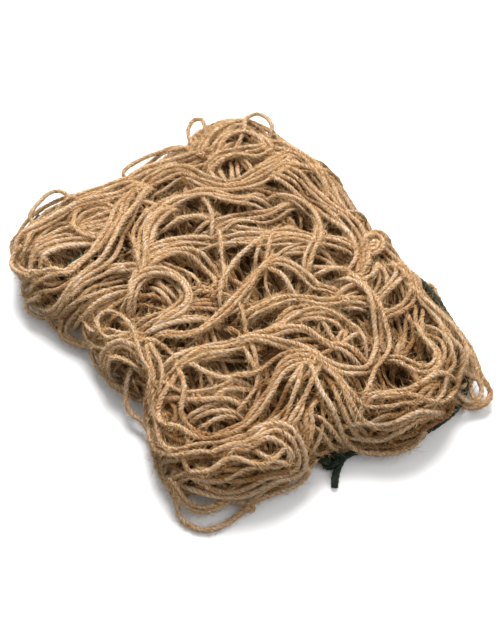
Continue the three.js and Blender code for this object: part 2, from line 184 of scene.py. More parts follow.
# Skeins that show on top: the layer from the lowest up, the number of strands side by side, the places
# that their middle passes as it is seen in the photograph, in pixels of its 502 x 642 frame, and for a few
# a spread of their own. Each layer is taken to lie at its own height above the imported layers. A skein that
# leaves the top goes on down the side.
LAYER_RISES = (14.0, 16.0, 18.0, 19.5)
LAYER_SPREADS = (1.18, 1.14, 1.08, 0.92)  # spacing of a skein's strands, in diameters
SKEINS = [
    # left corner
    (0, 3, [(22, 262), (25, 242), (38, 225), (60, 214), (90, 199), (122, 189), (152, 176)]),
    (0, 3, [(22, 265), (29, 246), (44, 230), (64, 218), (90, 206), (114, 198)]),
    (1, 2, [(26, 266), (34, 247), (50, 235), (68, 229), (86, 236), (98, 240)]),
    (1, 2, [(31, 268), (38, 252), (54, 243), (74, 239), (94, 237)]),
    (2, 1, [(36, 266), (42, 254), (58, 248), (78, 243), (98, 239)]),
    (1, 2, [(40, 254), (38, 264), (48, 270), (62, 267), (74, 264)]),
    (0, 2, [(48, 262), (56, 257), (66, 261), (70, 268)]),
    (2, 2, [(12, 266), (28, 271), (44, 280), (58, 281), (72, 272), (86, 260)]),
    (3, 5, [(146, 182), (130, 198), (119, 220), (104, 244), (87, 262), (66, 280), (44, 293), (28, 298)]),
    (1, 3, [(152, 271), (126, 273), (102, 279), (84, 290), (68, 305), (54, 316)]),
    (1, 3, [(132, 283), (110, 289), (92, 300), (77, 313), (66, 326)]),
    (0, 3, [(136, 288), (114, 298), (97, 310), (86, 326), (84, 342)]),
    (2, 1, [(122, 262), (106, 270), (90, 277), (74, 288), (58, 300)]),
    (1, 3, [(70, 218), (82, 209), (98, 203), (112, 204), (121, 216)]),
    (0, 3, [(72, 226), (86, 220), (102, 217), (116, 221)]),
    (1, 2, [(80, 229), (100, 230), (118, 226)]),
    (2, 3, [(80, 224), (96, 221), (108, 217), (119, 211)]),
    (2, 2, [(92, 233), (104, 229), (118, 220)]),
    (2, 1, [(72, 208), (71, 222), (80, 232), (93, 238)]),
    (2, 3, [(17, 266), (18, 250), (25, 235), (38, 224), (58, 213), (84, 201), (112, 191), (140, 180)]),
    (1, 2, [(70, 204), (96, 194), (122, 184), (150, 171), (178, 158)]),
    (2, 4, [(152, 206), (145, 226), (141, 248), (144, 270)]),
    (1, 2, [(108, 266), (128, 266), (150, 264)]),
    (1, 3, [(188, 145), (172, 151), (156, 159), (140, 166), (120, 174), (100, 183), (78, 192), (56, 202),
        (36, 213), (22, 225)]),
    # far end
    (1, 3, [(206, 158), (211, 140), (222, 126), (238, 121), (252, 126)]),
    (2, 3, [(198, 150), (205, 131), (216, 117), (232, 112), (248, 113), (262, 120)]),
    (2, 2, [(262, 136), (276, 143), (292, 150), (306, 158), (318, 170), (326, 186)]),
    (2, 3, [(216, 148), (223, 137), (235, 130), (248, 131), (260, 138), (266, 146)]),
    (2, 3, [(206, 160), (224, 152), (242, 149), (258, 151), (266, 145)]),
    (1, 4, [(216, 148), (196, 155), (172, 163), (148, 172), (130, 184)]),
    (0, 3, [(208, 146), (188, 153), (166, 159), (144, 169), (126, 180)]),
    (2, 4, [(148, 182), (166, 171), (184, 168), (204, 176), (222, 184), (240, 182), (258, 175),
        (282, 162)]),
    (2, 3, [(150, 216), (162, 204), (180, 194), (200, 190), (222, 196), (242, 198), (262, 194)]),
    (1, 3, [(220, 190), (246, 187), (268, 187), (286, 192), (302, 202)]),
    (1, 3, [(156, 224), (172, 217), (192, 213), (212, 214)]),
    (2, 3, [(200, 227), (216, 219), (236, 212), (256, 208), (276, 206), (290, 198)]),
    (1, 2, [(230, 221), (244, 227), (262, 232), (278, 230), (294, 222)]),
    (2, 4, [(148, 252), (168, 246), (190, 241), (216, 238), (242, 237), (268, 238), (292, 235)]),
    (1, 2, [(231, 150), (234, 162), (238, 174)]),
    (1, 2, [(240, 150), (247, 162), (254, 172)]),
    (1, 2, [(232, 148), (219, 154), (214, 164), (220, 175)]),
    (0, 4, [(250, 156), (268, 158), (288, 161), (304, 166)]),
    (1, 3, [(262, 172), (272, 165), (284, 158), (292, 154)]),
    (3, 1, [(209, 196), (210, 210), (214, 226)]),
    (3, 1, [(221, 226), (221, 244), (222, 262), (226, 280)]),
    (2, 2, [(152, 244), (152, 228), (158, 214), (172, 206)]),
    # far side
    (1, 3, [(331, 177), (342, 190), (354, 206), (368, 225), (384, 240), (398, 254), (408, 266),
        (418, 282), (429, 299), (440, 314)]),
    (0, 4, [(272, 152), (296, 158), (314, 170), (328, 190), (344, 212), (364, 234), (382, 254),
        (402, 276)]),
    (2, 4, [(276, 170), (298, 181), (314, 194), (328, 209), (344, 221), (358, 236), (363, 254),
        (358, 268)]),
    (1, 3, [(316, 168), (326, 184), (327, 204)]),
    (1, 2, [(330, 190), (338, 204), (350, 220), (362, 236)]),
    (3, 2, [(276, 189), (298, 197), (314, 211), (318, 230), (312, 248), (307, 266)]),
    (2, 3, [(268, 238), (292, 234), (314, 238), (336, 239), (354, 248)]),
    (1, 3, [(272, 246), (292, 243), (312, 244), (334, 250), (350, 258)]),
    (1, 2, [(284, 252), (306, 250), (326, 252), (338, 264)]),
    (2, 2, [(364, 246), (369, 237), (378, 236), (382, 244), (376, 251), (366, 251)]),
    (1, 2, [(366, 252), (378, 260), (384, 274), (382, 290)]),
    (2, 2, [(400, 258), (402, 270), (390, 284), (376, 293)]),
    (0, 3, [(378, 252), (390, 268), (404, 284), (416, 300)]),
    (1, 2, [(310, 268), (330, 264), (350, 267), (364, 277)]),
    (1, 3, [(282, 166), (304, 170), (322, 174)]),
    # left of the middle
    (2, 2, [(148, 264), (160, 257), (176, 252), (192, 252), (206, 258), (216, 269), (220, 281),
        (212, 289)]),
    (3, 3, [(134, 296), (136, 279), (146, 271), (160, 269), (174, 274), (184, 282), (188, 293),
        (183, 303), (172, 311), (156, 318)]),
    (3, 1, [(266, 234), (248, 245), (237, 254), (230, 268), (222, 281), (220, 298)]),
    (3, 2, [(280, 256), (258, 271), (247, 284), (236, 295), (226, 306), (214, 319), (202, 327),
        (184, 331), (158, 333)]),
    (1, 3, [(136, 318), (158, 313), (180, 305), (202, 300), (232, 298), (250, 296)]),
    (1, 3, [(148, 327), (170, 320), (192, 316), (214, 317)]),
    (1, 2, [(238, 319), (256, 311), (272, 303), (290, 297)]),
    (3, 1, [(122, 330), (111, 335), (101, 334), (94, 327), (93, 318), (99, 310), (110, 306), (122, 310),
        (131, 320), (137, 338), (141, 358), (144, 378), (148, 396), (152, 412)]),
    (2, 1, [(136, 338), (152, 338), (166, 345), (176, 356), (180, 368)]),
    (2, 3, [(172, 370), (182, 358), (198, 349), (222, 343), (248, 337), (272, 330), (292, 324)]),
    (1, 2, [(186, 362), (206, 355), (230, 350), (252, 348)]),
    (2, 2, [(250, 342), (256, 358), (258, 376), (252, 392), (244, 404)]),
    (1, 2, [(190, 286), (200, 283), (212, 288), (226, 290), (244, 284)]),
    (0, 2, [(150, 282), (164, 290), (176, 300)]),
    (1, 2, [(150, 262), (168, 266), (186, 272), (194, 286)]),
    (0, 2, [(196, 258), (206, 268), (210, 282)]),
    (1, 2, [(228, 272), (240, 280), (250, 290)]),
    (2, 2, [(268, 232), (264, 246), (260, 262)]),
    (1, 2, [(228, 322), (240, 330), (246, 338)]),
    # right of the middle
    (2, 2, [(248, 284), (258, 270), (268, 263), (282, 261), (296, 267), (308, 274), (318, 284),
        (334, 290)]),
    (3, 1, [(270, 269), (284, 276), (293, 290)]),
    (2, 2, [(250, 313), (268, 304), (286, 298), (304, 296), (320, 299), (342, 298), (360, 297),
        (374, 300)]),
    (3, 1, [(288, 324), (298, 313), (312, 306), (330, 308), (347, 316), (360, 328), (367, 342),
        (368, 356)]),
    (1, 3, [(296, 316), (316, 313), (336, 317), (350, 326)]),
    (3, 2, [(246, 337), (268, 331), (292, 327), (308, 328), (320, 336), (330, 343), (346, 347),
        (360, 358)]),
    (3, 2, [(240, 338), (262, 336), (284, 341), (304, 348), (322, 358), (338, 369), (354, 370),
        (369, 365), (376, 351), (379, 332), (379, 312), (374, 295), (364, 281), (348, 271)]),
    (3, 1, [(374, 294), (384, 311), (391, 328), (388, 347), (379, 365), (367, 388), (356, 408)]),
    (0, 2, [(312, 304), (340, 304), (366, 306)]),
    (1, 2, [(270, 332), (282, 318), (296, 306)]),
    (1, 3, [(346, 284), (360, 278), (372, 272), (376, 260)]),
    (1, 2, [(338, 296), (352, 288), (366, 284)]),
    (0, 2, [(268, 345), (290, 342), (316, 344), (332, 342)]),
    (1, 2, [(346, 330), (341, 345), (346, 358)]),
    # fan
    (3, 1, [(312, 352), (297, 350), (280, 355), (262, 366), (245, 373), (228, 378)]),
    (3, 2, [(310, 357), (297, 357), (285, 362), (273, 374), (263, 396), (252, 413), (230, 428)]),
    (3, 1, [(309, 360), (294, 364), (281, 376), (270, 394), (259, 410), (246, 424), (228, 436)]),
    (3, 2, [(309, 366), (293, 386), (277, 407), (262, 425), (246, 437), (226, 446)], 1.6),
    (3, 2, [(311, 366), (304, 384), (296, 401), (285, 420), (276, 432)], 1.8),
    (1, 1, [(313, 392), (311, 408), (307, 424), (302, 440)]),
    (1, 1, [(292, 414), (300, 426), (306, 440)]),
    (3, 1, [(311, 360), (314, 376), (319, 391), (328, 404), (338, 418), (346, 432), (354, 446)]),
    (2, 2, [(316, 361), (330, 374), (342, 394), (351, 416), (364, 432)], 1.4),
    (2, 2, [(324, 362), (338, 376), (350, 392), (363, 407), (380, 418), (396, 420), (418, 414),
        (440, 404)]),
    # right corner
    (2, 2, [(400, 262), (412, 282), (410, 297), (398, 306), (384, 311)]),
    (1, 3, [(400, 268), (416, 292), (432, 312), (446, 328), (457, 344)]),
    (2, 2, [(410, 286), (426, 302), (442, 318), (452, 334), (456, 352), (455, 372), (450, 392)]),
    (2, 2, [(428, 328), (444, 338), (451, 354), (447, 371), (434, 383), (416, 389)]),
    (1, 3, [(442, 332), (453, 348), (456, 366), (450, 384), (438, 397), (420, 406), (400, 412)]),
    (2, 2, [(418, 322), (426, 338), (436, 350), (434, 363), (424, 370), (410, 364), (394, 352)]),
    (1, 2, [(390, 350), (406, 360), (417, 374), (421, 390)]),
    (1, 1, [(398, 308), (402, 326), (398, 346)]),
    (1, 2, [(409, 306), (411, 326), (406, 346)]),
    (1, 2, [(420, 304), (420, 324), (424, 344)]),
    (2, 2, [(366, 397), (390, 393), (412, 391), (434, 388), (450, 380)]),
    (1, 2, [(370, 404), (396, 402), (418, 395), (438, 390)]),
    (1, 2, [(436, 390), (424, 402), (414, 416)]),
    (0, 3, [(352, 440), (376, 434), (402, 424), (430, 409), (454, 393)]),
    (1, 2, [(340, 448), (366, 450), (396, 446), (424, 434)]),
    (2, 2, [(350, 428), (366, 432), (388, 428), (412, 422), (438, 410)]),
    # front side
    (1, 2, [(84, 328), (92, 338), (106, 340), (122, 336), (136, 332)]),
    (1, 3, [(104, 376), (104, 360), (111, 350), (125, 346), (140, 352)]),
    (0, 2, [(120, 396), (109, 382), (107, 364), (115, 353), (130, 353), (141, 362)]),
    (2, 2, [(150, 342), (154, 360), (158, 378), (160, 396)]),
    (3, 1, [(180, 366), (183, 380), (182, 396), (180, 409), (186, 420), (196, 428)]),
    (3, 3, [(150, 398), (151, 418), (157, 432), (170, 440), (192, 444), (216, 442), (240, 436)]),
    (1, 3, [(184, 422), (198, 413), (214, 408), (232, 406)]),
    (1, 3, [(188, 430), (210, 434), (234, 430)]),
    (1, 2, [(169, 400), (172, 416), (176, 432)]),
    (1, 2, [(160, 396), (184, 396), (210, 394), (236, 396)]),
    (2, 1, [(162, 378), (176, 387), (194, 389), (214, 386), (230, 378), (244, 368)]),
    (2, 1, [(196, 360), (206, 371), (222, 379), (238, 376)]),
    (1, 2, [(190, 352), (178, 363), (169, 376), (160, 392)]),
    (1, 3, [(240, 444), (214, 451), (192, 457), (172, 452), (160, 440), (154, 426)]),
    (1, 3, [(240, 462), (216, 466), (196, 470), (180, 474), (168, 472), (161, 460)]),
    (2, 1, [(181, 442), (180, 458), (184, 471), (196, 479), (216, 482)]),
    (1, 2, [(154, 432), (158, 446), (163, 462), (170, 476), (182, 484), (200, 487), (222, 484),
        (240, 477)]),
    # near end
    (3, 4, [(258, 437), (274, 432), (288, 438), (297, 450), (297, 463), (284, 472), (260, 478),
        (232, 481), (206, 481), (186, 477)]),
    (1, 3, [(226, 471), (246, 467), (266, 462), (284, 456)]),
    (1, 2, [(228, 452), (248, 446), (264, 440)]),
    (1, 2, [(282, 438), (289, 450), (288, 466)]),
    (1, 2, [(298, 416), (304, 432), (307, 448)]),
    (1, 2, [(321, 398), (318, 418), (316, 438), (308, 454)]),
    (1, 2, [(322, 430), (332, 441), (346, 449), (364, 450)]),
    (0, 2, [(300, 462), (320, 456), (342, 450), (366, 450)]),
    (2, 1, [(306, 386), (304, 402), (300, 418), (296, 436)]),
    (1, 2, [(344, 398), (352, 414), (361, 428), (376, 433), (394, 430)]),
]

# Single strands that stand out of the pack as open loops, from one foot in the pack to the other: where
# they are seen in the photograph, and their height there.
LOOPS = [
    # far end
    [(232, 160, 28), (243, 132, 36), (246, 119, 38), (256, 114, 39), (267, 118, 39), (272, 130, 38),
     (262, 150, 28)],
    [(206, 158, 28), (193, 146, 34), (188, 132, 37), (193, 121, 39), (202, 120, 39), (205, 130, 38),
     (208, 152, 28)],
    [(150, 182, 28), (126, 178, 35), (125, 170, 37), (140, 160, 37), (160, 152, 37), (182, 147, 35),
     (200, 160, 28)],
    [(44, 238, 28), (30, 218, 35), (36, 206, 37), (48, 194, 38), (60, 191, 38), (69, 197, 37),
     (76, 214, 28)],
    # front edge, from the left corner
    [(60, 284, 30), (34, 276, 31), (20, 273, 30), (12, 267, 29), (13, 256, 31), (22, 246, 34)],
    [(44, 284, 26), (27, 283, 19), (23, 290, 16), (27, 298, 14), (40, 300, 20)],
    [(40, 296, 26), (28, 302, 16), (27, 309, 12), (34, 315, 10), (45, 318, 9), (56, 314, 16)],
    [(50, 306, 20), (49, 319, 12), (54, 327, 8), (62, 331, 7), (67, 327, 10), (72, 316, 18)],
    [(62, 318, 18), (60, 332, 9), (66, 340, 7), (78, 345, 7), (90, 346, 10), (98, 338, 18)],
    [(72, 316, 20), (66, 330, 11), (72, 338, 8), (82, 342, 8), (92, 340, 12), (96, 328, 20)],
    [(104, 336, 24), (93, 345, 17), (93, 357, 13), (98, 368, 11), (105, 374, 12), (114, 366, 20)],
    [(108, 358, 24), (104, 372, 15), (112, 385, 11), (125, 393, 10), (140, 400, 10), (152, 392, 20)],
    [(146, 354, 24), (135, 365, 27), (128, 378, 24), (126, 396, 15), (127, 406, 12), (133, 415, 10),
     (141, 420, 10), (150, 431, 10), (160, 428, 20)],
    [(148, 418, 20), (150, 438, 11), (155, 456, 9), (160, 472, 9), (168, 484, 10), (176, 470, 22)],
    [(160, 440, 22), (161, 462, 13), (165, 478, 10), (171, 492, 9), (179, 500, 9), (192, 490, 8),
     (200, 478, 8)],
    # near corner
    [(172, 482, 18), (176, 500, 9), (179, 514, 4), (187, 524, 2.6), (204, 530, 2.6), (222, 526, 2.6),
     (237, 516, 3.5), (250, 505, 5.5), (264, 497, 7), (282, 491, 8), (298, 484, 9), (308, 472, 14),
     (300, 456, 24)],
    [(170, 478, 20), (180, 498, 12), (190, 508, 9), (203, 512, 8), (218, 508, 8), (231, 499, 9),
     (239, 488, 13), (236, 474, 22)],
    [(174, 482, 20), (186, 500, 12), (198, 507, 10), (212, 506, 9.5), (226, 499, 10), (236, 489, 13),
     (232, 474, 22)],
    [(236, 480, 20), (233, 498, 10), (242, 503, 7), (251, 502, 7), (258, 495, 9), (269, 487, 12),
     (286, 478, 20)],
    [(342, 434, 24), (350, 446, 14), (362, 452, 11), (380, 454, 10), (398, 452, 10), (414, 445, 12),
     (424, 432, 22)],
    # right corner
    [(430, 306, 34), (449, 327, 28), (461, 342, 23), (469, 358, 18), (472, 373, 14), (470, 387, 10),
     (475, 400, 8), (485, 403, 7), (490, 394, 8), (486, 384, 10), (474, 378, 14), (460, 368, 22)],
    [(438, 310, 34), (456, 328, 28), (468, 344, 22), (476, 360, 17), (481, 375, 13), (488, 386, 10),
     (491, 396, 8), (484, 405, 7), (470, 408, 6.5), (459, 403, 10), (444, 392, 22)],
    [(434, 309, 33), (452, 329, 27), (466, 346, 22), (475, 363, 17), (478, 378, 13), (482, 390, 10),
     (478, 400, 8), (468, 402, 10), (450, 388, 22)],
    # far edge
    [(422, 298, 20), (426, 286, 22), (432, 286, 20), (437, 295, 17), (441, 305, 15), (444, 317, 19)],
    [(352, 244, 28), (366, 238, 37), (376, 231, 39), (385, 236, 38), (384, 252, 28)],
]

# Where the layers leave a hollow between the skeins: where it is seen, its radius and its depth.
HOLLOW_HEIGHT = 36.0
HOLLOWS = [
    (151, 193, 7, 9), (123, 244, 6, 10), (110, 256, 4, 8), (82, 256, 10, 11), (203, 164, 7, 8),
    (225, 166, 5, 9), (168, 187, 7, 7), (190, 203, 8, 6), (226, 204, 7, 7), (266, 192, 7, 7),
    (175, 234, 6, 8), (303, 222, 7, 11), (213, 250, 5, 9), (231, 246, 5, 8), (247, 262, 8, 11),
    (184, 257, 5, 8), (197, 272, 6, 9), (253, 322, 6, 11), (238, 360, 8, 8), (224, 330, 7, 7),
    (172, 345, 6, 8), (327, 275, 8, 9), (345, 284, 5, 7), (303, 306, 5, 8), (396, 368, 8, 11),
    (428, 350, 5, 8), (345, 359, 4, 8), (327, 394, 6, 10), (262, 411, 5, 8), (293, 393, 4, 8),
    (245, 460, 8, 8), (118, 361, 6, 8), (132, 386, 7, 8), (370, 326, 6, 8),
]

# Knots of the net's meshes that show: where, and the direction in plan that the knotted strand runs in.
KNOT_RISE = 18.5
KNOT_REACH = 2  # a knot rests on the pile within this distance
KNOT_SINK = 0.6  # and sinks this far into it
KNOT_SIZE, KNOT_LONG, KNOT_HIGH = 2.7, 1.25, 0.5  # its size, and its length and height as shares of it
KNOT_TWINE = 0.86  # its strand is drawn this much thinner
KNOT_SAMPLES = 40
KNOT_TONE, LOOP_KNOT_TONE = 0.2, 0.3
KNOTS = [
    (182, 340, 30), (126, 213, 60), (206, 284, 20), (164, 299, 0), (376, 242, 40), (391, 304, 20),
    (195, 393, 10), (312, 360, 90), (322, 232, 20), (200, 150, 0), (286, 150, 30), (345, 297, 0),
]
# The knot on the near corner's loop
LOOP_KNOT = dict(at=(119.0, -66.0, 5.5), heading=100, size=3.0, long=KNOT_LONG)
LOOP_KNOT_TWINE = 0.9

# The green cord's route, from its free end on the surface, round the near end and the back of the pack,
# in at the far end and up to the hollow in the left corner, where it shows again.
CORD_ROUTE = [
    (133, -17, 2.3), (128, -13, 2.4), (124, -8, 2.8), (121, -2, 4), (122, 8, 5), (126, 20, 6),
    (130, 34, 7), (133, 50, 7), (133, 64, 8), (130, 76, 9), (124, 85, 11), (114, 92.5, 14),
    (103, 98, 18), (90, 101, 23), (74, 102, 27), (56, 104, 26), (36, 105, 21), (10, 105, 16),
    (-30, 105, 15), (-60, 110, 15), (-88, 107, 15), (-114, 101, 15), (-138, 90, 15), (-148, 66, 16),
    (-141, 36, 17), (-135, 8, 18), (-131, -14, 20), (-121, -32, 23), (-106, -42, 26), (-93, -48, 28),
    (-85, -56, 29.5), (-80, -65, 30), (-77, -74, 30), (-75, -83, 29), (-72, -92, 25),
]
CORD_KNOT = dict(at=(118.5, -10.5, 4.8), heading=66, size=4.2, long=1.9)  # the knot beside its free end
CORD_KNOT_TWINE = 0.9
CORD_TONE, CORD_KNOT_TONE = 0.5, 0.4

# Fibres that stand off the strands: how many, their size and lean, and how far they keep to open strands
FIBRES = dict(
    stray_fibres=dict(
        count=4500, length=6.0, thick=0.26, lean=(0.2, 1.3), wander=0.25, open_only=3.0, bend=0.5),
    fuzz=dict(count=49000, length=3.6, thick=0.3, lean=(0.25, 1.5), wander=0.3, open_only=4.0),
    long_fuzz=dict(count=49000, length=4.8, thick=0.27, lean=(0.25, 3.5), wander=0.3, open_only=2.0),
    gap_fuzz=dict(count=21500, length=4.6, thick=0.28, lean=(0.25, 4.0), wander=0.3, open_only=0.5),
)
FIBRE_ROOT = 0.42  # they stand off from this share of the twine's diameter
FIBRE_SLIP = 1.2  # and up to this far along it from a sample
FIBRE_SHAPE, FIBRE_MOST = 2.5, 2.0  # how even their lengths are, and the longest in mean lengths
FIBRE_THICK = (0.7, 1.3)
FIBRE_TAPER = 0.8  # thickness where a fibre bends
FIBRE_FLOOR = 0.1  # none lies lower than this
TRIANGLE = ((1.0, 0.0), (-0.5, 0.87), (-0.5, -0.87))  # the corners of a fibre's section
NEEDLE = [(0, 2, 1), (0, 1, 3), (1, 2, 3), (2, 0, 3)]  # the faces of a straight fibre
SPIKE = [  # and of one that bends once
    (0, 2, 1), (0, 1, 4), (0, 4, 3), (1, 2, 5), (1, 5, 4), (2, 0, 3), (2, 3, 5),
    (3, 4, 6), (4, 5, 6), (5, 3, 6),
]

# Finishes: shades from the darkest streak to the palest, and the painted shade that grooves, deep strands
# and the gaps between strands are tinted with
JUTE = dict(
    shades=[
        (0.27, 0.112, 0.024), (0.42, 0.212, 0.062), (0.57, 0.347, 0.142), (0.66, 0.495, 0.332),
        (0.73, 0.65, 0.56)],
    # the three tints below are painted shade: for the grooves between plies, for strands that lie deep in
    # the pile, and for the gaps between strands
    groove=(0.19, 0.080, 0.017, 1),
    deep=(0.50, 0.37, 0.215, 1),
    painted_gap_shade=(0.88, 0.62, 0.28, 1),
    fuzz=(0.80, 0.56, 0.32, 1),
    fuzziness=0.12,
    roughness=0.66,
)
GREEN = dict(
    shades=[(0.0056, 0.0085, 0.005), (0.0155, 0.023, 0.0135), (0.035, 0.049, 0.029)],
    # the three tints below are painted shade, as for the jute
    groove=(0.003, 0.0045, 0.0028, 1),
    deep=(0.7, 0.7, 0.7, 1),
    painted_gap_shade=(0.6, 0.6, 0.6, 1),
    fuzz=(0.08, 0.10, 0.075, 1),
    fuzziness=0.05,
    roughness=0.62,
)
STREAK = dict(Along=1.6, Around=7.0, Detail=3.0)  # broad streaks of fibre along a ply
HAIR = dict(Along=7.0, Around=18.0, Detail=1.0)  # and fine ones
STREAK_ROUGHNESS = 0.6
STREAK_SHARE, HAIR_SHARE, TONE_SHARE, PATCH_SHARE = 1.7, 5.0, 0.32, 0.6  # what makes up a strand's shade
SHADE_START = 3.14  # the sum of these that gives the darkest shade
# GROOVE_SHARE is how strongly the grooves between plies are darkened with painted shade
GROOVE_SHARE, GROOVE_SHARPNESS = 0.26, 1.6
GROOVE_BUMP = 0.4
HAIR_ROUGHNESS = 0.14
TWINE_PATCH, FIBRE_PATCH, HEART_PATCH, PATCH_DETAIL = 38.0, 60.0, 160.0, 2.0
TWINE_BUMP = dict(Strength=0.8, Distance=0.0008)
HEART_BUMP = dict(Strength=0.8, Distance=0.002)
# The gaps between strands, found by ambient occlusion, are darkened in the twine's colour as painted shade.
GAP_WIDTH = 0.007  # metres within which a gap is looked for
GAP_SAMPLES = 4
OPEN_SHARE = 0.90  # a place that sees this share of its surroundings or more isn't in a gap
FIBRE_DARK, FIBRE_PALE = (0.40, 0.20, 0.058, 1), (0.88, 0.65, 0.36, 1)
FIBRE_TONE_SHARE, FIBRE_PATCH_SHARE = 0.7, 0.3
# the heart's colours are far darker than the twine's: painted shade for the inside of the pack
HEART_DARK, HEART_PALE = (0.06, 0.028, 0.008, 1), (0.24, 0.12, 0.04, 1)
FLOOR_DARK, FLOOR_PALE, FLOOR_GRAIN = (0.86, 0.86, 0.86, 1), (0.88, 0.88, 0.88, 1), 40.0

# Camera, and floor and lights in metres and watts
PHOTO_WIDTH, PHOTO_HEIGHT = 502, 642
VIEW_AZIMUTH = math.radians(58.4)
VIEW_ELEVATION = math.radians(54)
VIEW_DISTANCE = 562.0
VIEW_TARGET = np.array([22.6, 0.4, 23.0])
LENS = 50.47
SENSOR = 36.0
CLIP_START = 0.01
FLOOR_HALF = 6.0
KEY = dict(place=(-0.62, 0.40, 1.1), size=0.8, power=38.0, colour=(1.0, 0.99, 0.98))
FILL = dict(place=(0.8, 0.6, 1.2), size=1.2, power=7, colour=(1.0, 0.99, 0.97))
SURROUND = {"From Min": -0.2, "From Max": 0.5, "To Min": 0.13, "To Max": 0.63}  # from below up


# Curves


def run_of(line):
    """Distance along a line at each of its samples."""
    return np.concatenate([[0], np.cumsum(np.linalg.norm(np.diff(line, axis=0), axis=1))])


def resample(rows, step, columns=None):
    """Rows spaced evenly along the line that is in their first columns, or in all of them."""
    along = run_of(rows[:, :columns])
    wanted = np.linspace(0, along[-1], max(LEAST_SAMPLES, round(along[-1] / step) + 1))
    return np.stack([np.interp(wanted, along, column) for column in rows.T], axis=1)


def smooth_line(points, step, closed=False):
    """A smooth line through points, as samples about one step apart."""
    points = np.asarray(points, float)
    if closed:
        rows = np.vstack([points[-1], points, points[:2]])
    else:
        rows = np.vstack([2 * points[0] - points[1], points, 2 * points[-1] - points[-2]])
    a, b, c, d = (rows[i : len(rows) - 3 + i, None, :] for i in range(4))
    t = np.linspace(0, 1, SPAN_SAMPLES, endpoint=False)[None, :, None]
    bends = 2 * b + (c - a) * t + (2 * a - 5 * b + 4 * c - d) * t**2 + (3 * b - a - 3 * c + d) * t**3
    line = np.vstack([0.5 * bends.reshape(-1, points.shape[1]), rows[-2]])
    return resample(line, step)


def unit(vectors):
    return vectors / np.linalg.norm(vectors, axis=-1, keepdims=True)


def left_of(line):
    """The direction to the left of a plan line at each sample."""
    ahead = unit(np.gradient(line, axis=0))
    return np.stack([-ahead[:, 1], ahead[:, 0]], axis=1)


def drift(along, span, size):
    """A slow, uneven sway along a strand."""
    sway = np.zeros_like(along)
    for share in SWAY_SHARES:
        sway += share**0.5 * np.sin(2 * math.pi * (along / (span * share) + rng.random()))
    return size * sway / SWAY_SUM


def softened(values, passes):
    """Values along a line with short kinks smoothed out, ends kept."""
    values = np.array(values, float)
    for _ in range(passes):
        values[1:-1] = (values[:-2] + 2 * values[1:-1] + values[2:]) / 4
    return values


def near_end(along, run):
    """1 at a strand's ends, and 0 from a run away from them."""
    return np.clip(1 - np.minimum(along, along[-1] - along) / run, 0, 1) ** 2


# The photograph's view


def view_axes():
    """The directions to the right, up and back toward the camera in the photograph's view."""
    flat = math.cos(VIEW_ELEVATION)
    right = np.array([math.cos(VIEW_AZIMUTH), math.sin(VIEW_AZIMUTH), 0.0])
    back = np.array([right[1] * flat, -right[0] * flat, math.sin(VIEW_ELEVATION)])
    return right, np.cross(back, right), back


def sight_plan(seen, height):
    """Plan points in which the sight lines of places in the photograph pass a height."""
    right, up, back = view_axes()
    focal = LENS / SENSOR * PHOTO_HEIGHT
    across, down = ((np.atleast_2d(seen) - (PHOTO_WIDTH / 2, PHOTO_HEIGHT / 2)) / focal).T
    ray = across[:, None] * right - down[:, None] * up - back
    eye = VIEW_TARGET - SHIFT + VIEW_DISTANCE * back
    reach = (height - eye[2]) / ray[:, 2]
    return eye[:2] + reach[:, None] * ray[:, :2]


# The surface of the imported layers


def pack_edge():
    """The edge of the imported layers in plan, and the direction into the pack at each sample."""
    line = smooth_line(OUTLINE, EDGE_STEP, closed=True)[:-1]
    ahead = np.roll(line, -1, axis=0) - np.roll(line, 1, axis=0)
    inward = unit(np.stack([-ahead[:, 1], ahead[:, 0]], axis=1))
    for _ in range(EDGE_PASSES):
        inward = unit(np.roll(inward, 1, axis=0) + 2 * inward + np.roll(inward, -1, axis=0))
    inset = np.full(len(line), EDGE_INSET)
    for x, y, reach, depth in DENTS:
        away = np.linalg.norm(line - (x, y), axis=1)
        inset += depth * np.exp(-((away / reach) ** 2))
    return line + inset[:, None] * inward, inward


def side_section():
    """The section of the pack's side, from the shoulder down to the base.

    Gives the run down the side, and at each run the inset from the edge, the height, and the parts of
    the outward direction that point into the pack and up.
    """
    turn = np.linspace(0, math.pi / 2, SECTION_SAMPLES)
    inset = np.concatenate([SHOULDER * (1 - np.sin(turn)), BASE_INSET * (1 - np.cos(turn[1:]))])
    upper = BED_BELLY + (BED_TOP - BED_BELLY) * np.cos(turn)
    lower = BED_BELLY - (BED_BELLY - BED_FOOT) * np.sin(turn[1:])
    height = np.concatenate([upper, lower])
    run = run_of(np.stack([inset, height], axis=1))
    return run, inset, height, np.gradient(height, run), -np.gradient(inset, run)


EDGE, INWARD = pack_edge()
HOLLOWS_AT = sight_plan([(x, y) for x, y, _, _ in HOLLOWS], HOLLOW_HEIGHT)
RUN, INSET, HEIGHT, OUT_IN, OUT_UP = side_section()


def hollow_depth(plan):
    """How deep the hollows between the skeins are at plan points."""
    depth = np.zeros(len(plan))
    for (_, _, radius, deep), centre in zip(HOLLOWS, HOLLOWS_AT):
        away = np.linalg.norm(plan - centre, axis=1)
        depth += deep * np.exp(-((away / radius) ** HOLLOW_STEEP))
    return depth


def bed_relief(plan):
    """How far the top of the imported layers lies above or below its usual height."""
    x, y = plan.T
    waves = np.sin(x / LUMP_X + LUMP_START) * np.cos(y / LUMP_Y)
    waves = waves + SLANT_SHARE * np.sin((x - SLANT_LEAN * y) / SLANT_RUN)
    return LUMP * waves - hollow_depth(plan)


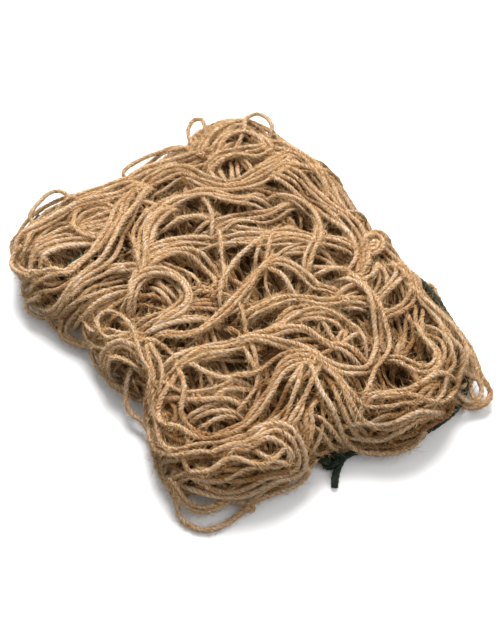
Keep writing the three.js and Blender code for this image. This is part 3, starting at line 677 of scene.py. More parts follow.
def on_pack(plan):
    """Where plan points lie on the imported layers, which way is out, and how far they are on the side.

    Past the shoulder the plan is rolled down over the side of the pack.
    """
    away = ((plan[:, None, :] - EDGE[None]) ** 2).sum(axis=2)
    nearest = np.argmin(away, axis=1)
    foot, inward = EDGE[nearest], INWARD[nearest]
    beside = plan - foot
    depth = np.linalg.norm(beside, axis=1) * np.sign((beside * inward).sum(axis=1))
    run = np.clip(SHOULDER - depth, 0, RUN[-1])
    inset, height, out_in, out_up = (np.interp(run, RUN, row) for row in (INSET, HEIGHT, OUT_IN, OUT_UP))
    flat = depth >= SHOULDER
    at = np.where(flat[:, None], plan, foot + inward * inset[:, None])
    out = np.column_stack([inward * out_in[:, None], out_up])
    out[flat] = UP
    return np.column_stack([at, height]), unit(out), np.clip(1 - depth / SHOULDER, 0, 1)


def risen(plan, rise):
    """Places in space above plan points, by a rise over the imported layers."""
    at, out, side = on_pack(plan)
    return at + out * (rise * (1 - SIDE_PRESS * side))[:, None]


def near_sides():
    """Where the pack's edge faces the camera."""
    return np.flatnonzero(INWARD @ view_axes()[2][:2] < FACING)


def plan_of(seen, rise):
    """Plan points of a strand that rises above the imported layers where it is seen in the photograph.

    Each point is moved until the place where it comes to lie is on its sight line, or else is the place
    on the near sides that comes closest to it.
    """
    plan = sight_plan(seen, BED_TOP + rise)
    best, least = plan.copy(), np.full(len(plan), np.inf)
    for _ in range(SIGHT_PASSES):
        place = risen(plan, rise)
        miss = sight_plan(seen, place[:, 2]) - place[:, :2]
        away = np.linalg.norm(miss, axis=1)
        better = away < least
        best[better], least[better] = plan[better], away[better]
        plan = plan + SIGHT_STEP * miss
    if least.max() > MISS:
        near = near_sides()
        levels = np.arange(-SIDE_REACH, SHOULDER)[None, :, None]
        plan = (EDGE[near][:, None] + levels * INWARD[near][:, None]).reshape(-1, 2)
        place = risen(plan, rise)
        for k in np.flatnonzero(least > MISS):
            away = np.linalg.norm(sight_plan(seen[k], place[:, 2]) - place[:, :2], axis=1)
            best[k] = plan[np.argmin(away)]
    return best


# Laying up: a map of how high the strands already lie over each millimetre of the plan


BURIED = ("base_runs", "bottom_runs", "inner_turns", "side_inner")  # parts that show only between others
grid = np.stack(np.meshgrid(np.arange(-MAP_X, MAP_X), np.arange(-MAP_Y, MAP_Y), indexing="ij"), -1)
pile = bed_relief(grid.reshape(-1, 2)).reshape(2 * MAP_X, 2 * MAP_Y)
strands = []


def twine_section():
    """The cells round a strand's middle, and how far its top stands above the middle at each."""
    steps = (-1, 0, 1)
    return [(i, j, math.sqrt(max(0.0, (TWINE / 2) ** 2 - i * i - j * j))) for i in steps for j in steps]


def cells(plan):
    """The map's cells at plan points."""
    i, j = np.rint(plan + (MAP_X, MAP_Y)).astype(int).T
    most_i, most_j = 2 * MAP_X - 1 - MAP_MARGIN, 2 * MAP_Y - 1 - MAP_MARGIN
    return np.clip(i, MAP_MARGIN, most_i), np.clip(j, MAP_MARGIN, most_j)


def settle(plan, bed):
    """The height at which a strand comes to rest on what lies there, ends tucked in.

    The strand bridges dips, but follows the rise and fall of a bed that it is given.
    """
    i, j = cells(plan)
    under = np.max([pile[i + di, j + dj] for di, dj, _ in twine_section()], axis=0)
    need = under + SEAT * TWINE / 2 - bed
    rest = need.copy()
    along = run_of(plan)
    step = along[1] - along[0]
    for k in range(1, min(len(plan) - 1, round(BRIDGE / step))):
        drop = BEND * (k * step) ** 2
        rest[k:] = np.maximum(rest[k:], need[:-k] - drop)
        rest[:-k] = np.maximum(rest[:-k], need[k:] - drop)
    rest = softened(rest, REST_PASSES) + bed
    rest += (TUCKED - rest) * near_end(along, TUCK_RUN)
    for di, dj, rise in twine_section():
        np.maximum.at(pile, (i + di, j + dj), rest + rise)
    return rest


def pressed(height):
    """Heights in the pile after the pack's own weight has pressed it together."""
    over = np.maximum(height - FIRM, 0)
    return np.minimum(height, FIRM) + PRESSED * (1 - np.exp(-over / PRESSED))


def lay_strand(plan, part):
    """Lays one strand along a plan line and keeps its line in space."""
    plan = resample(plan, FINE_STEP)
    at, out, side = on_pack(plan)
    rest = settle(plan, bed_relief(plan) if part in BURIED else 0.0)
    line = at + out * (pressed(rest) * (1 - SIDE_PRESS * side))[:, None]
    line = np.column_stack([softened(column, LINE_PASSES) for column in line.T])
    rows = resample(np.column_stack([line, plan, rest]), FINE_STEP, columns=3)
    line, plan, rest = rows[:, :3], rows[:, 3:5], rows[:, 5]
    line[:, 2] = np.maximum(line[:, 2], LOWEST * TWINE)
    thickness = TWINE * rng.uniform(THINNEST, THICKEST)
    strands.append(dict(part=part, line=line, plan=plan, rest=rest, thickness=thickness, tone=rng.random()))


def top_around():
    """The highest strand near each place of the plan, evened out."""
    top = pile.copy()
    for gather in (np.max, np.mean):
        for axis in (0, 1):
            top = gather([np.roll(top, shift, axis) for shift in range(-NEAR, NEAR + 1)], axis=0)
    return top


def mark_depths():
    """Marks how deep each sample of a strand lies below the strands near it, from 0 on top to 1. The twine
    is darkened by it with painted shade.
    """
    top = top_around()
    for row in strands:
        if "plan" in row:
            least = BURIED_DEPTH if row["part"] in BURIED else 0
            row["depth"] = np.clip((top[cells(row["plan"])] - row["rest"] - TWINE) / DEEP, least, 1)
        else:
            row["depth"] = np.full(len(row["line"]), row.get("depth", 0.0))


def crowding(path, stay):
    """How much already lies along a path, with the hollows kept clear, and the sides too for a stay."""
    line = smooth_line(path, CROWD_STEP)
    return pile[cells(line)].mean() + CLEAR * hollow_depth(line).mean() + stay * on_pack(line)[2].mean()


def emptiest(paths, stay=0.0):
    """The path that runs where the pile is lowest."""
    return min(paths, key=lambda path: crowding(path, stay))


def lay_skein(path, count, part, spread=SPREAD, sway=SWAY):
    """Lays strands side by side along a path: they draw together and part, and each sways on its own."""
    middle = smooth_line(path, FINE_STEP)
    along = run_of(middle)
    left = left_of(middle)
    ends = near_end(along, SPLAY_RUN)
    gather = 1 + drift(along, GATHER_RUN, GATHER)
    for k in rng.permutation(count):
        place = (k - (count - 1) / 2) * TWINE * spread
        offset = place * gather + drift(along, SWAY_RUN, sway) + ends * rng.uniform(-SPLAY, SPLAY)
        lay_strand(middle + left * offset[:, None], part)


def run_on(path):
    """A path carried on at both ends, where it goes down between its neighbours."""
    first = path[0] + ENDS_RUN_ON * unit(path[0] - path[1])
    last = path[-1] + ENDS_RUN_ON * unit(path[-1] - path[-2])
    return np.vstack([first, path, last])


def bow():
    """A bow of the gathered net somewhere in the pack, as plan points."""
    centre = np.array([rng.uniform(*BOW_X), rng.uniform(*BOW_Y)])
    long, short = rng.uniform(*BOW_LONG), rng.uniform(*BOW_SHORT)
    lean = rng.normal(0, BOW_LEAN)
    start = rng.uniform(0, 2 * math.pi)
    turn = start + np.linspace(0, rng.uniform(*BOW_TURN) * rng.choice((-1, 1)), BOW_POINTS)
    x, y = long * np.cos(turn), short * np.sin(turn)
    ahead, aside = math.cos(lean), math.sin(lean)
    return centre + np.column_stack([x * ahead - y * aside, x * aside + y * ahead])


def past_edge(index, level):
    """Plan points at samples of the edge, each at its own level: above 0 inside, below 0 past the edge."""
    return EDGE[index] + INWARD[index] * level[:, None]


def side_run():
    """A run along the pack's side, as plan points past the edge."""
    first, length = int(rng.integers(len(EDGE))), int(rng.integers(*SIDE_LENGTH))
    index = (first + np.arange(0, length, SIDE_SKIP)) % len(EDGE)
    level = rng.uniform(*SIDE_LEVEL)
    along = np.arange(len(index)) * SIDE_SKIP * EDGE_STEP
    return past_edge(index, level + drift(along, SIDE_SWAY_RUN, SIDE_SWAY))


def side_bight():
    """A bight that hangs over the edge and down one of the near sides, as plan points."""
    first, length = int(rng.choice(near_sides())), int(rng.integers(*BIGHT_LENGTH))
    index = (first + np.arange(0, length, BIGHT_SKIP)) % len(EDGE)
    arch = np.sin(np.linspace(0, math.pi, len(index))) ** BIGHT_ROUND
    return past_edge(index, BIGHT_TOP - rng.uniform(*BIGHT_DROP) * arch)


def stray_run():
    """A lone strand that wanders over the top, as plan points."""
    place = np.array([rng.uniform(*STRAY_X), rng.uniform(*STRAY_Y)])
    heading, bend = rng.uniform(0, 2 * math.pi), rng.uniform(-STRAY_BEND, STRAY_BEND)
    path = [place]
    for _ in range(int(rng.integers(*STRAY_STEPS))):
        heading += bend + rng.normal(0, STRAY_WANDER)
        place = place + STRAY_STEP * np.array([math.cos(heading), math.sin(heading)])
        path.append(place)
    return np.array(path)


def stray_strands(count, part):
    """Lone strands where little lies yet, kept off the sides."""
    for _ in range(count):
        lay_skein(emptiest([stray_run() for _ in range(STRAY_TRIALS)], STAY), 1, part)


def base_runs(part):
    """Runs across the underside, which the pack rests on."""
    for x in np.arange(*BASE_X, TWINE * BASE_SPACING):
        y = np.arange(*BASE_Y, FINE_STEP)
        plan = np.column_stack([x + drift(y, UNDER_SWAY_RUN, BASE_SWAY), y])
        away = np.linalg.norm(plan[:, None] - EDGE[None], axis=2)
        nearest = np.argmin(away, axis=1)
        inside = ((plan - EDGE[nearest]) * INWARD[nearest]).sum(axis=1) > BASE_INSET - BASE_OVER
        line = plan[inside]
        if len(line) > BASE_LEAST:
            line = np.column_stack([line, np.full(len(line), LOWEST * TWINE)])
            strands.append(dict(part=part, line=line, thickness=TWINE, tone=rng.random(), depth=1.0))


def bottom_runs(part):
    """The lowest runs, side by side from end to end. They close the pack and are pressed in."""
    for y in np.arange(*BOTTOM_Y, TWINE * BOTTOM_SPACING):
        x = np.linspace(*BOTTOM_X, BOTTOM_POINTS)
        lay_skein(np.column_stack([x, y + drift(x, UNDER_SWAY_RUN, BOTTOM_SWAY)]), 1, part)
        pile[:] = np.minimum(pile, PRESSED_IN)


def buried_turns(shape, count, part):
    """Turns of the gathered net laid where the pile is still low."""
    for _ in range(count):
        lay_skein(emptiest([shape() for _ in range(TRIALS)]), int(rng.integers(*TURN_STRANDS)), part)


def skeins_of(layer, part):
    """The skeins of one layer, where the photograph shows them."""
    for row_layer, count, seen, *own_spread in SKEINS:
        if row_layer == layer:
            path = run_on(plan_of(seen, LAYER_RISES[layer]))
            spread = own_spread[0] if own_spread else LAYER_SPREADS[layer]
            lay_skein(path, count, part, spread, SKEIN_SWAY)


def loose_loops(part):
    """The loops that stand out of the pack, where the photograph shows them."""
    for path in LOOPS:
        seen = np.array(path, float)
        line = smooth_line(np.column_stack([sight_plan(seen[:, :2], seen[:, 2]), seen[:, 2]]), FINE_STEP)
        strands.append(dict(part=part, line=line, thickness=TWINE, tone=rng.random()))


# Meshes


def side_frames(line):
    """Directions across a line that turn with it and don't spin round it."""
    ahead = unit(np.gradient(line, axis=0))
    across = np.empty_like(line)
    last = np.cross(ahead[0], ASKEW)
    for i, forward in enumerate(ahead):
        last = last - forward * last.dot(forward)
        last = last / math.sqrt(last.dot(last))
        across[i] = last
    return across, np.cross(ahead, across)


def ply_rings(line, thickness, lay):
    """Rings of points round a line: the crests and grooves of plies that turn along it."""
    across, upward = side_frames(line)
    corners = 2 * PLIES
    share = np.where(np.arange(corners) % 2 == 0, CREST, GROOVE)
    run = run_of(line)
    turn = 2 * math.pi * (np.arange(corners)[None] / corners + run[:, None] / lay)
    swell = 1 + UNEVEN * sum(np.sin(run / length + move * thickness) for length, move in SWELLS)
    reach = thickness / 2 * share[None] * swell[:, None]
    spokes = np.cos(turn)[..., None] * across[:, None] + np.sin(turn)[..., None] * upward[:, None]
    return line[:, None] + reach[..., None] * spokes


def ring_walls(rings, sides):
    """Faces between rings of points, and the ring and the side of each face corner."""
    ring, side = np.meshgrid(np.arange(rings - 1), np.arange(sides), indexing="ij")
    run = np.stack([ring, ring, ring + 1, ring + 1], -1).reshape(-1, 4)
    turn = np.stack([side, side + 1, side + 1, side], -1).reshape(-1, 4)
    return run * sides + turn % sides, run, turn


def tube_quads(rings, sides):
    """Faces of a closed tube through rings of six points, and the run and turn of each face corner."""
    walls, run, turn = ring_walls(rings, sides)
    last = (rings - 1) * sides
    end = np.array([[0, 1, 2, 3], [0, 3, 4, 5]])
    caps = np.vstack([end[:, ::-1], last + end])
    cap_run = np.repeat([0, 0, rings - 1, rings - 1], 4).reshape(4, 4)
    return np.vstack([walls, caps]), np.vstack([run, cap_run]), np.vstack([turn, caps % sides])


def make_mesh(name, points, faces, material, uv=None, **marks):
    """A smooth-shaded piece from arrays of points in millimetres and faces of equal size."""
    corners = faces.shape[1]
    mesh = bpy.data.meshes.new(name)
    mesh.vertices.add(len(points))
    mesh.vertices.foreach_set("co", ((points + SHIFT) * MM).astype(np.float32).ravel())
    mesh.loops.add(faces.size)
    mesh.loops.foreach_set("vertex_index", faces.astype(np.int32).ravel())
    mesh.polygons.add(len(faces))
    mesh.polygons.foreach_set("loop_start", np.arange(0, faces.size, corners, dtype=np.int32))
    if uv is not None:
        mesh.uv_layers.new(name="UVMap").data.foreach_set("uv", uv.astype(np.float32).ravel())
    for mark, values in marks.items():
        mesh.attributes.new(mark, "FLOAT", "POINT").data.foreach_set("value", values.astype(np.float32))
    mesh.update(calc_edges=True)
    mesh.validate()
    mesh.shade_smooth()
    mesh.materials.append(material)
    return placed(name, mesh)


def placed(name, data):
    """An object of the scene that shows a mesh, light or camera."""
    thing = bpy.data.objects.new(name, data)
    bpy.context.scene.collection.objects.link(thing)
    return thing


def twine_piece(name, rows, material, lay=LAY, step=FINE_STEP):
    """One joined mesh of twisted strands."""
    points, faces, uvs, tones, depths = [], [], [], [], []
    first = 0
    for row in rows:
        depth = row.get("depth", np.zeros(len(row["line"])))
        whole = resample(np.column_stack([row["line"], depth]), step, columns=3)
        line, depth = whole[:, :3], whole[:, 3]
        rings = ply_rings(line, row["thickness"], lay * (LAY_LEAST + LAY_SPAN * row["tone"]))
        count, sides = rings.shape[:2]
        quads, run, turn = tube_quads(count, sides)
        along = run_of(line)[run] / UV_RUN + UV_SHIFT * row["tone"]
        points.append(rings.reshape(-1, 3))
        faces.append(quads + first)
        uvs.append(np.stack([along, turn / sides], -1).reshape(-1, 2))
        tones.append(np.full(count * sides, row["tone"]))
        depths.append(np.repeat(depth, sides))
        first += count * sides
    return make_mesh(name, np.vstack(points), np.vstack(faces), material, np.vstack(uvs),
                     tone=np.concatenate(tones), depth=np.concatenate(depths))


def knot_line(centre, heading, out, size, long=KNOT_LONG):
    """A closed overhand turn of twine, flat against the pack."""
    turn = np.linspace(0, 2 * math.pi, KNOT_SAMPLES)
    ahead = math.radians(heading)
    along = unit(np.array([math.cos(ahead), math.sin(ahead), 0.0]) - out * out[0] * math.cos(ahead))
    across = np.cross(out, along)
    x = (np.sin(turn) + 2 * np.sin(2 * turn)) / 3
    y = (np.cos(turn) - 2 * np.cos(2 * turn)) / 3
    z = -np.sin(3 * turn)
    return centre + size * (long * x[:, None] * along + y[:, None] * across + KNOT_HIGH * z[:, None] * out)


def lying_knot(knot):
    """The turn of a knot that lies flat at its own place."""
    return knot_line(np.array(knot["at"]), knot["heading"], UP, knot["size"], knot["long"])


def net_knots():
    """The knots of the net's meshes, as rows of twine."""
    rows = []
    for x, y, heading in KNOTS:
        plan = plan_of([(x, y)], KNOT_RISE)
        at, out, _ = on_pack(plan)
        i, j = (int(index[0]) for index in cells(plan))
        around = pile[i - KNOT_REACH : i + KNOT_REACH + 1, j - KNOT_REACH : j + KNOT_REACH + 1]
        centre = at[0] + out[0] * (pressed(around.mean()) - KNOT_SINK)
        line = knot_line(centre, heading, out[0], KNOT_SIZE)
        line[:, 2] = np.maximum(line[:, 2], LOWEST * TWINE)
        rows.append(dict(line=line, thickness=TWINE * KNOT_TWINE, tone=KNOT_TONE))
    rows.append(dict(line=lying_knot(LOOP_KNOT), thickness=TWINE * LOOP_KNOT_TWINE, tone=LOOP_KNOT_TONE))
    return rows


def fibre_roots(rows, count, open_only):
    """Places on the strands where fibres stand off, more of them where a strand lies open."""
    at = np.vstack([row["line"] for row in rows])
    ahead = np.vstack([unit(np.gradient(row["line"], axis=0)) for row in rows])
    openness = np.exp(-open_only * np.concatenate([row["depth"] for row in rows]))
    pick = rng.choice(len(at), size=count, p=openness / openness.sum())
    forward = ahead[pick] * rng.choice((-1, 1), size=(count, 1))
    around = unit(np.cross(forward, unit(rng.normal(size=(count, 3)))))
    slip = forward * rng.uniform(-FIBRE_SLIP, FIBRE_SLIP, size=(count, 1))
    return at[pick] + around * TWINE * FIBRE_ROOT + slip, forward, around


def fibre_piece(name, rows, material, count, length, thick, lean, wander, open_only, bend=0.0):
    """Fibres that stand off the strands: slim closed needles, or for a bend spikes that bend once."""
    root, forward, around = fibre_roots(rows, count, open_only)
    side = np.cross(forward, around)
    reach = np.minimum(rng.gamma(FIBRE_SHAPE, length / FIBRE_SHAPE, size=(count, 1)), FIBRE_MOST * length)
    away = unit(forward + around * rng.uniform(*lean, size=(count, 1)) + rng.normal(0, wander, (count, 3)))
    bent = unit(away + rng.normal(0, bend, (count, 3))) if bend else away
    half = 0.5 * thick * rng.uniform(*FIBRE_THICK, size=(count, 1))
    spokes = [x * side + y * around for x, y in TRIANGLE]
    rings = [root + half * spoke for spoke in spokes]
    if bend:
        middle = root + 0.5 * reach * away
        rings += [middle + FIBRE_TAPER * half * spoke for spoke in spokes]
        rings.append(middle + 0.5 * reach * bent)
    else:
        rings.append(root + reach * away)
    corners = len(rings)
    faces = corners * np.arange(count)[:, None, None] + np.array(SPIKE if bend else NEEDLE)
    points = np.stack(rings, axis=1).reshape(-1, 3)
    points[:, 2] = np.maximum(points[:, 2], FIBRE_FLOOR)
    tone = np.repeat(rng.random(count), corners)
    return make_mesh(name, points, faces.reshape(-1, 3), material, tone=tone)


def pack_heart(material):
    """The solid heart of the pack, which shows only as the dark between strands; its dark colour is painted
    shade.
    """
    edge, inward = EDGE[::HEART_SKIP], INWARD[::HEART_SKIP]
    centre = edge.mean(axis=0)
    shares = np.linspace(HEART_MIDDLE, 1, HEART_TOP_RINGS)
    depths = np.linspace(SHOULDER, SHOULDER - RUN[-1], HEART_SIDE_RINGS)[1:]
    rings = [centre + share * (edge + inward * SHOULDER - centre) for share in shares]
    rings += [edge + inward * depth for depth in depths]
    rows = []
    for ring in rings:
        at, out, side = on_pack(ring)
        at[:, 2] += bed_relief(ring) * (1 - side)
        rows.append(at - HEART_INSET * out)
    foot = rows[-1]
    for share in HEART_UNDER:
        under = foot.copy()
        under[:, :2] = centre + share * (foot[:, :2] - centre)
        rows.append(under)
    sides = len(edge)
    walls = ring_walls(len(rows), sides)[0][:, [0, 3, 2, 1]]
    points = np.vstack([*rows, rows[0].mean(axis=0), rows[-1].mean(axis=0)])
    pairs = np.arange(0, sides, 2)
    fan = np.stack([pairs, (pairs + 1) % sides, (pairs + 2) % sides], -1)
    last = (len(rows) - 1) * sides
    top = np.column_stack([np.full(len(pairs), len(points) - 2), fan])
    bottom = np.column_stack([np.full(len(pairs), len(points) - 1), last + fan[:, ::-1]])
    return make_mesh("pack_heart", points, np.vstack([walls, top, bottom]), material)


# Materials


def set_inputs(node, values):
    for name, value in values.items():
        node.inputs[name].default_value = value


def node_group(name, inputs, outputs):
    group = bpy.data.node_groups.new(name, "ShaderNodeTree")
    for socket, default in inputs.items():
        made = group.interface.new_socket(name=socket, in_out="INPUT", socket_type="NodeSocketFloat")
        made.default_value = default
    for socket in outputs:
        group.interface.new_socket(name=socket, in_out="OUTPUT", socket_type="NodeSocketFloat")
    return group, group.nodes.new("NodeGroupInput"), group.nodes.new("NodeGroupOutput")


def placed_group(tree, group, values):
    node = tree.nodes.new("ShaderNodeGroup")
    node.node_tree = group
    set_inputs(node, values)
    return node.outputs[0]


def feed(tree, socket, value):
    """Links a socket to what another node gives, or sets it to a plain value."""
    if isinstance(value, bpy.types.NodeSocket):
        tree.links.new(value, socket)
    else:
        socket.default_value = value


def math_node(tree, operation, first, second=0.0):
    node = tree.nodes.new("ShaderNodeMath")
    node.operation = operation
    feed(tree, node.inputs[0], first)
    feed(tree, node.inputs[1], second)
    return node.outputs[0]


def weighted(tree, *parts):
    """The sum of values, each times its share."""
    products = [math_node(tree, "MULTIPLY", value, share) for value, share in parts]
    total = products[0]
    for product in products[1:]:
        total = math_node(tree, "ADD", total, product)
    return total


def mix_colour(tree, share, first, second, blend="MIX"):
    node = tree.nodes.new("ShaderNodeMix")
    node.data_type = "RGBA"
    node.blend_type = blend
    for socket, value in ((node.inputs[0], share), (node.inputs[6], first), (node.inputs[7], second)):
        feed(tree, socket, value)
    return node.outputs[2]


def shaded(tree, share, shades):
    """A colour that runs through evenly spaced shades."""
    ramp = tree.nodes.new("ShaderNodeValToRGB")
    stops = ramp.color_ramp.elements
    while len(stops) < len(shades):
        stops.new(0.5)
    for i, shade in enumerate(shades):
        stops[i].position = i / (len(shades) - 1)
        stops[i].color = (*shade, 1)
    tree.links.new(share, ramp.inputs["Fac"])
    return ramp.outputs["Color"]


def surface_parts(group):
    """The run and the turn that a strand's mesh carries."""
    surface = group.nodes.new("ShaderNodeUVMap")
    parts = group.nodes.new("ShaderNodeSeparateXYZ")
    group.links.new(surface.outputs["UV"], parts.inputs[0])
    return parts.outputs["X"], parts.outputs["Y"]


def fibre_streaks_group():
    """Long streaks along a strand."""
    group, given, result = node_group("fibre_streaks", STREAK, ["Streak"])
    run, turn = surface_parts(group)
    place = group.nodes.new("ShaderNodeCombineXYZ")
    noise = group.nodes.new("ShaderNodeTexNoise")
    set_inputs(noise, {"Scale": 1.0, "Roughness": STREAK_ROUGHNESS})
    group.links.new(math_node(group, "MULTIPLY", run, given.outputs["Along"]), place.inputs["X"])
    group.links.new(math_node(group, "MULTIPLY", turn, given.outputs["Around"]), place.inputs["Y"])
    group.links.new(given.outputs["Detail"], noise.inputs["Detail"])
    group.links.new(place.outputs[0], noise.inputs["Vector"])
    group.links.new(noise.outputs[0], result.inputs["Streak"])
    return group


def ply_grooves_group():
    """A mask of the grooves between the plies of twisted twine."""
    values = {"Plies": float(PLIES), "Sharpness": GROOVE_SHARPNESS}
    group, given, result = node_group("ply_grooves", values, ["Groove"])
    turns = math_node(group, "MULTIPLY", surface_parts(group)[1], given.outputs["Plies"])
    wave = math_node(group, "COSINE", math_node(group, "MULTIPLY", turns, 2 * math.pi))
    depth = math_node(group, "MULTIPLY", math_node(group, "SUBTRACT", 1.0, wave), 0.5)
    group.links.new(math_node(group, "POWER", depth, given.outputs["Sharpness"]), result.inputs["Groove"])
    return group


def patches_group():
    """Broad uneven patches over the whole pack."""
    group, given, result = node_group("uneven_patches", {"Scale": TWINE_PATCH}, ["Patch"])
    place = group.nodes.new("ShaderNodeTexCoord")
    noise = group.nodes.new("ShaderNodeTexNoise")
    set_inputs(noise, {"Detail": PATCH_DETAIL})
    group.links.new(place.outputs["Object"], noise.inputs["Vector"])
    group.links.new(given.outputs["Scale"], noise.inputs["Scale"])
    group.links.new(noise.outputs[0], result.inputs["Patch"])
    return group


def gaps_group():
    """A mask for the painted shade in the gaps between strands, from 0 where a place lies open to 1."""
    group, given, result = node_group("gap_shade", {"Distance": GAP_WIDTH}, ["Shut"])
    gap = group.nodes.new("ShaderNodeAmbientOcclusion")
    gap.samples = GAP_SAMPLES
    group.links.new(given.outputs["Distance"], gap.inputs["Distance"])
    hidden = math_node(group, "SUBTRACT", OPEN_SHARE, gap.outputs["AO"])
    hidden.node.use_clamp = True
    group.links.new(math_node(group, "DIVIDE", hidden, OPEN_SHARE), result.inputs["Shut"])
    return group


def new_material(name):
    material = bpy.data.materials.new(name)
    material.use_nodes = True
    tree = material.node_tree
    return material, tree, tree.nodes["Principled BSDF"]


def mark_of(tree, name):
    """A value that the mesh carries at its points."""
    mark = tree.nodes.new("ShaderNodeAttribute")
    mark.attribute_name = name
    return mark.outputs["Fac"]


def bumped(tree, surface, height, values):
    bump = tree.nodes.new("ShaderNodeBump")
    set_inputs(bump, values)
    tree.links.new(height, bump.inputs["Height"])
    tree.links.new(bump.outputs[0], surface.inputs["Normal"])


def twine_material(name, groups, finish):
    """Twisted plies of fibre: streaks along each ply, strands of uneven tone, and painted shade in the
    grooves, on deep strands and in gaps.
    """
    material, tree, surface = new_material(name)
    streak = placed_group(tree, groups["streaks"], STREAK)
    hair = placed_group(tree, groups["streaks"], HAIR)
    groove = placed_group(tree, groups["grooves"], {"Plies": float(PLIES), "Sharpness": GROOVE_SHARPNESS})
    patch = placed_group(tree, groups["patches"], {"Scale": TWINE_PATCH})
    painted_gap_shade = placed_group(tree, groups["gaps"], {"Distance": GAP_WIDTH})
    tone = mark_of(tree, "tone")
    mixed = weighted(
        tree, (streak, STREAK_SHARE), (hair, HAIR_SHARE), (tone, TONE_SHARE), (patch, PATCH_SHARE))
    share = math_node(tree, "SUBTRACT", mixed, SHADE_START)
    share.node.use_clamp = True
    colour = shaded(tree, share, finish["shades"])
    # painted shade: the grooves, strands that lie deep and the gaps between strands are darkened in the base
    # colour
    colour = mix_colour(tree, math_node(tree, "MULTIPLY", groove, GROOVE_SHARE), colour, finish["groove"])
    colour = mix_colour(tree, mark_of(tree, "depth"), colour, finish["deep"], "MULTIPLY")
    colour = mix_colour(tree, painted_gap_shade, colour, finish["painted_gap_shade"], "MULTIPLY")
    roughness = math_node(tree, "MULTIPLY", hair, HAIR_ROUGHNESS)
    roughness = math_node(tree, "ADD", roughness, finish["roughness"])
    tree.links.new(colour, surface.inputs["Base Color"])
    tree.links.new(roughness, surface.inputs["Roughness"])
    set_inputs(surface, {
        "Diffuse Roughness": 1.0, "Specular IOR Level": 0.15, "Sheen Weight": finish["fuzziness"],
        "Sheen Roughness": 0.5, "Sheen Tint": finish["fuzz"]})
    height = math_node(tree, "ADD", streak, hair)
    height = math_node(tree, "SUBTRACT", height, math_node(tree, "MULTIPLY", groove, GROOVE_BUMP))
    bumped(tree, surface, height, TWINE_BUMP)
    return material


def fibre_material(groups):
    """Single fibres of jute, from dark to pale."""
    material, tree, surface = new_material("stray_fibre")
    patch = placed_group(tree, groups["patches"], {"Scale": FIBRE_PATCH})
    share = weighted(tree, (mark_of(tree, "tone"), FIBRE_TONE_SHARE), (patch, FIBRE_PATCH_SHARE))
    colour = mix_colour(tree, share, FIBRE_DARK, FIBRE_PALE)
    tree.links.new(colour, surface.inputs["Base Color"])
    set_inputs(surface, {"Roughness": 0.8, "Specular IOR Level": 0.2})
    return material


def heart_material(groups):
    """Deep packed twine, seen only between strands, coloured dark as painted shade."""
    material, tree, surface = new_material("packed_heart")
    patch = placed_group(tree, groups["patches"], {"Scale": HEART_PATCH})
    colour = mix_colour(tree, patch, HEART_DARK, HEART_PALE)
    tree.links.new(colour, surface.inputs["Base Color"])
    set_inputs(surface, {"Roughness": 0.95, "Specular IOR Level": 0.1})
    bumped(tree, surface, patch, HEART_BUMP)
    return material


def floor_material():
    material, tree, surface = new_material("pale_floor")
    grain = tree.nodes.new("ShaderNodeTexNoise")
    set_inputs(grain, {"Scale": FLOOR_GRAIN})
    colour = mix_colour(tree, grain.outputs[0], FLOOR_DARK, FLOOR_PALE)
    tree.links.new(colour, surface.inputs["Base Color"])
    set_inputs(surface, {"Roughness": 0.9})
    return material


# Camera, cord, net, studio


def add_camera():
    camera = placed("camera", bpy.data.cameras.new("camera"))
    back = view_axes()[2]
    camera.location = (VIEW_TARGET + VIEW_DISTANCE * back) * MM
    camera.rotation_euler = Vector(back).to_track_quat("Z", "Y").to_euler()
    camera.data.lens = LENS
    camera.data.sensor_width = SENSOR
    camera.data.clip_start = CLIP_START
    bpy.context.scene.camera = camera


def net_piece(piece):
    """A piece of the net rides on the pack's body and stands for the pack's solid."""
    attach(piece, BODY)
    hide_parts("net_pack")


def add_edge_cord(material):
    line = smooth_line(CORD_ROUTE, FINE_STEP)
    rope = dict(line=line, thickness=CORD, tone=CORD_TONE)
    turns = dict(line=lying_knot(CORD_KNOT), thickness=CORD * CORD_KNOT_TWINE, tone=CORD_KNOT_TONE)
    cord = twine_piece("edge_cord_rope", [rope], material, lay=CORD_LAY)
    knot = twine_piece("edge_cord_knot", [turns], material, lay=CORD_LAY)
    for piece in (cord, knot):
        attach(piece, BODY)
        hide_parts("edge_cord")


def lay_up():
    """Lays every strand of the net, from the underside up."""
    base_runs("base_runs")
    bottom_runs("bottom_runs")
    buried_turns(side_run, INNER_SIDE_RUNS, "side_inner")
    buried_turns(bow, BOWS, "inner_turns")
    buried_turns(side_run, OUTER_SIDE_RUNS, "side_outer")
    buried_turns(side_bight, BIGHTS, "side_outer")
    for layer, strays in enumerate(LAYER_STRAYS):
        skeins_of(layer, f"skeins_{layer}")
        stray_strands(strays, f"skeins_{layer}")
    loose_loops("loose_loops")
    mark_depths()


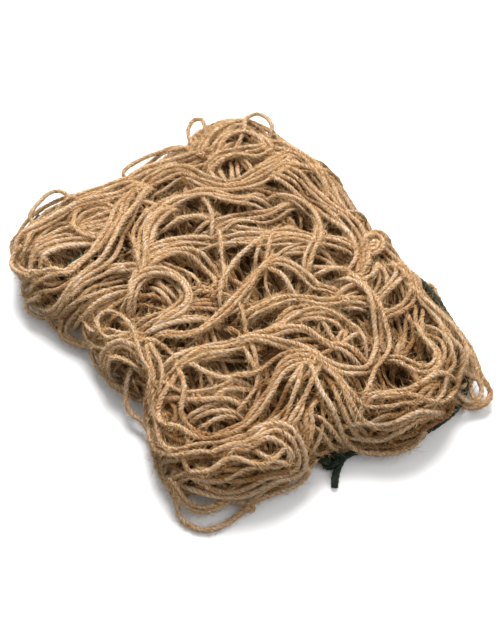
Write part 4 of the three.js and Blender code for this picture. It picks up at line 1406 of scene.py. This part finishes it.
def add_net(twine, fibre, heart):
    lay_up()
    parts = {}
    for row in strands:
        parts.setdefault(row["part"], []).append(row)
    net_piece(pack_heart(heart))
    for part, rows in parts.items():
        lay, step = (BURIED_LAY, BURIED_STEP) if part in BURIED else (LAY, FINE_STEP)
        net_piece(twine_piece(part, rows, twine, lay, step))
    net_piece(twine_piece("mesh_knots", net_knots(), twine))
    for name, kind in FIBRES.items():
        net_piece(fibre_piece(name, strands, fibre, **kind))


def add_area_light(name, place, size, power, colour):
    """A round soft light that looks at the middle of the pack's underside."""
    light = bpy.data.lights.new(name, "AREA")
    light.shape = "DISK"
    light.size = size
    light.energy = power
    light.color = colour
    lamp = placed(name, light)
    lamp.location = place
    lamp.rotation_euler = (-Vector(place)).to_track_quat("-Z", "Y").to_euler()


def soft_surround():
    """A world that is bright overhead and dim from below."""
    world = bpy.data.worlds.new("studio")
    world.use_nodes = True
    tree = world.node_tree
    place = tree.nodes.new("ShaderNodeTexCoord")
    parts = tree.nodes.new("ShaderNodeSeparateXYZ")
    rise = tree.nodes.new("ShaderNodeMapRange")
    set_inputs(rise, SURROUND)
    tree.links.new(place.outputs["Generated"], parts.inputs[0])
    tree.links.new(parts.outputs["Z"], rise.inputs["Value"])
    tree.links.new(rise.outputs["Result"], tree.nodes["Background"].inputs["Strength"])
    set_inputs(tree.nodes["Background"], {"Color": (1, 1, 1, 1)})
    return world


def add_studio():
    plane = bpy.data.meshes.new("floor")
    corners = [(x * FLOOR_HALF, y * FLOOR_HALF, 0) for x, y in ((-1, -1), (1, -1), (1, 1), (-1, 1))]
    plane.from_pydata(corners, [], [(0, 1, 2, 3)])
    plane.materials.append(floor_material())
    floor = placed("floor", plane)
    floor.visible_diffuse = False
    add_area_light("key", **KEY)
    add_area_light("fill", **FILL)
    bpy.context.scene.world = soft_surround()
    bpy.context.scene.view_settings.view_transform = "Standard"


def main():
    groups = dict(
        streaks=fibre_streaks_group(),
        grooves=ply_grooves_group(),
        patches=patches_group(),
        gaps=gaps_group(),
    )
    green = twine_material("green_cord", groups, GREEN)
    jute = twine_material("jute_twine", groups, JUTE)
    add_camera()
    add_edge_cord(green)
    add_net(jute, fibre_material(groups), heart_material(groups))
    add_studio()


main()
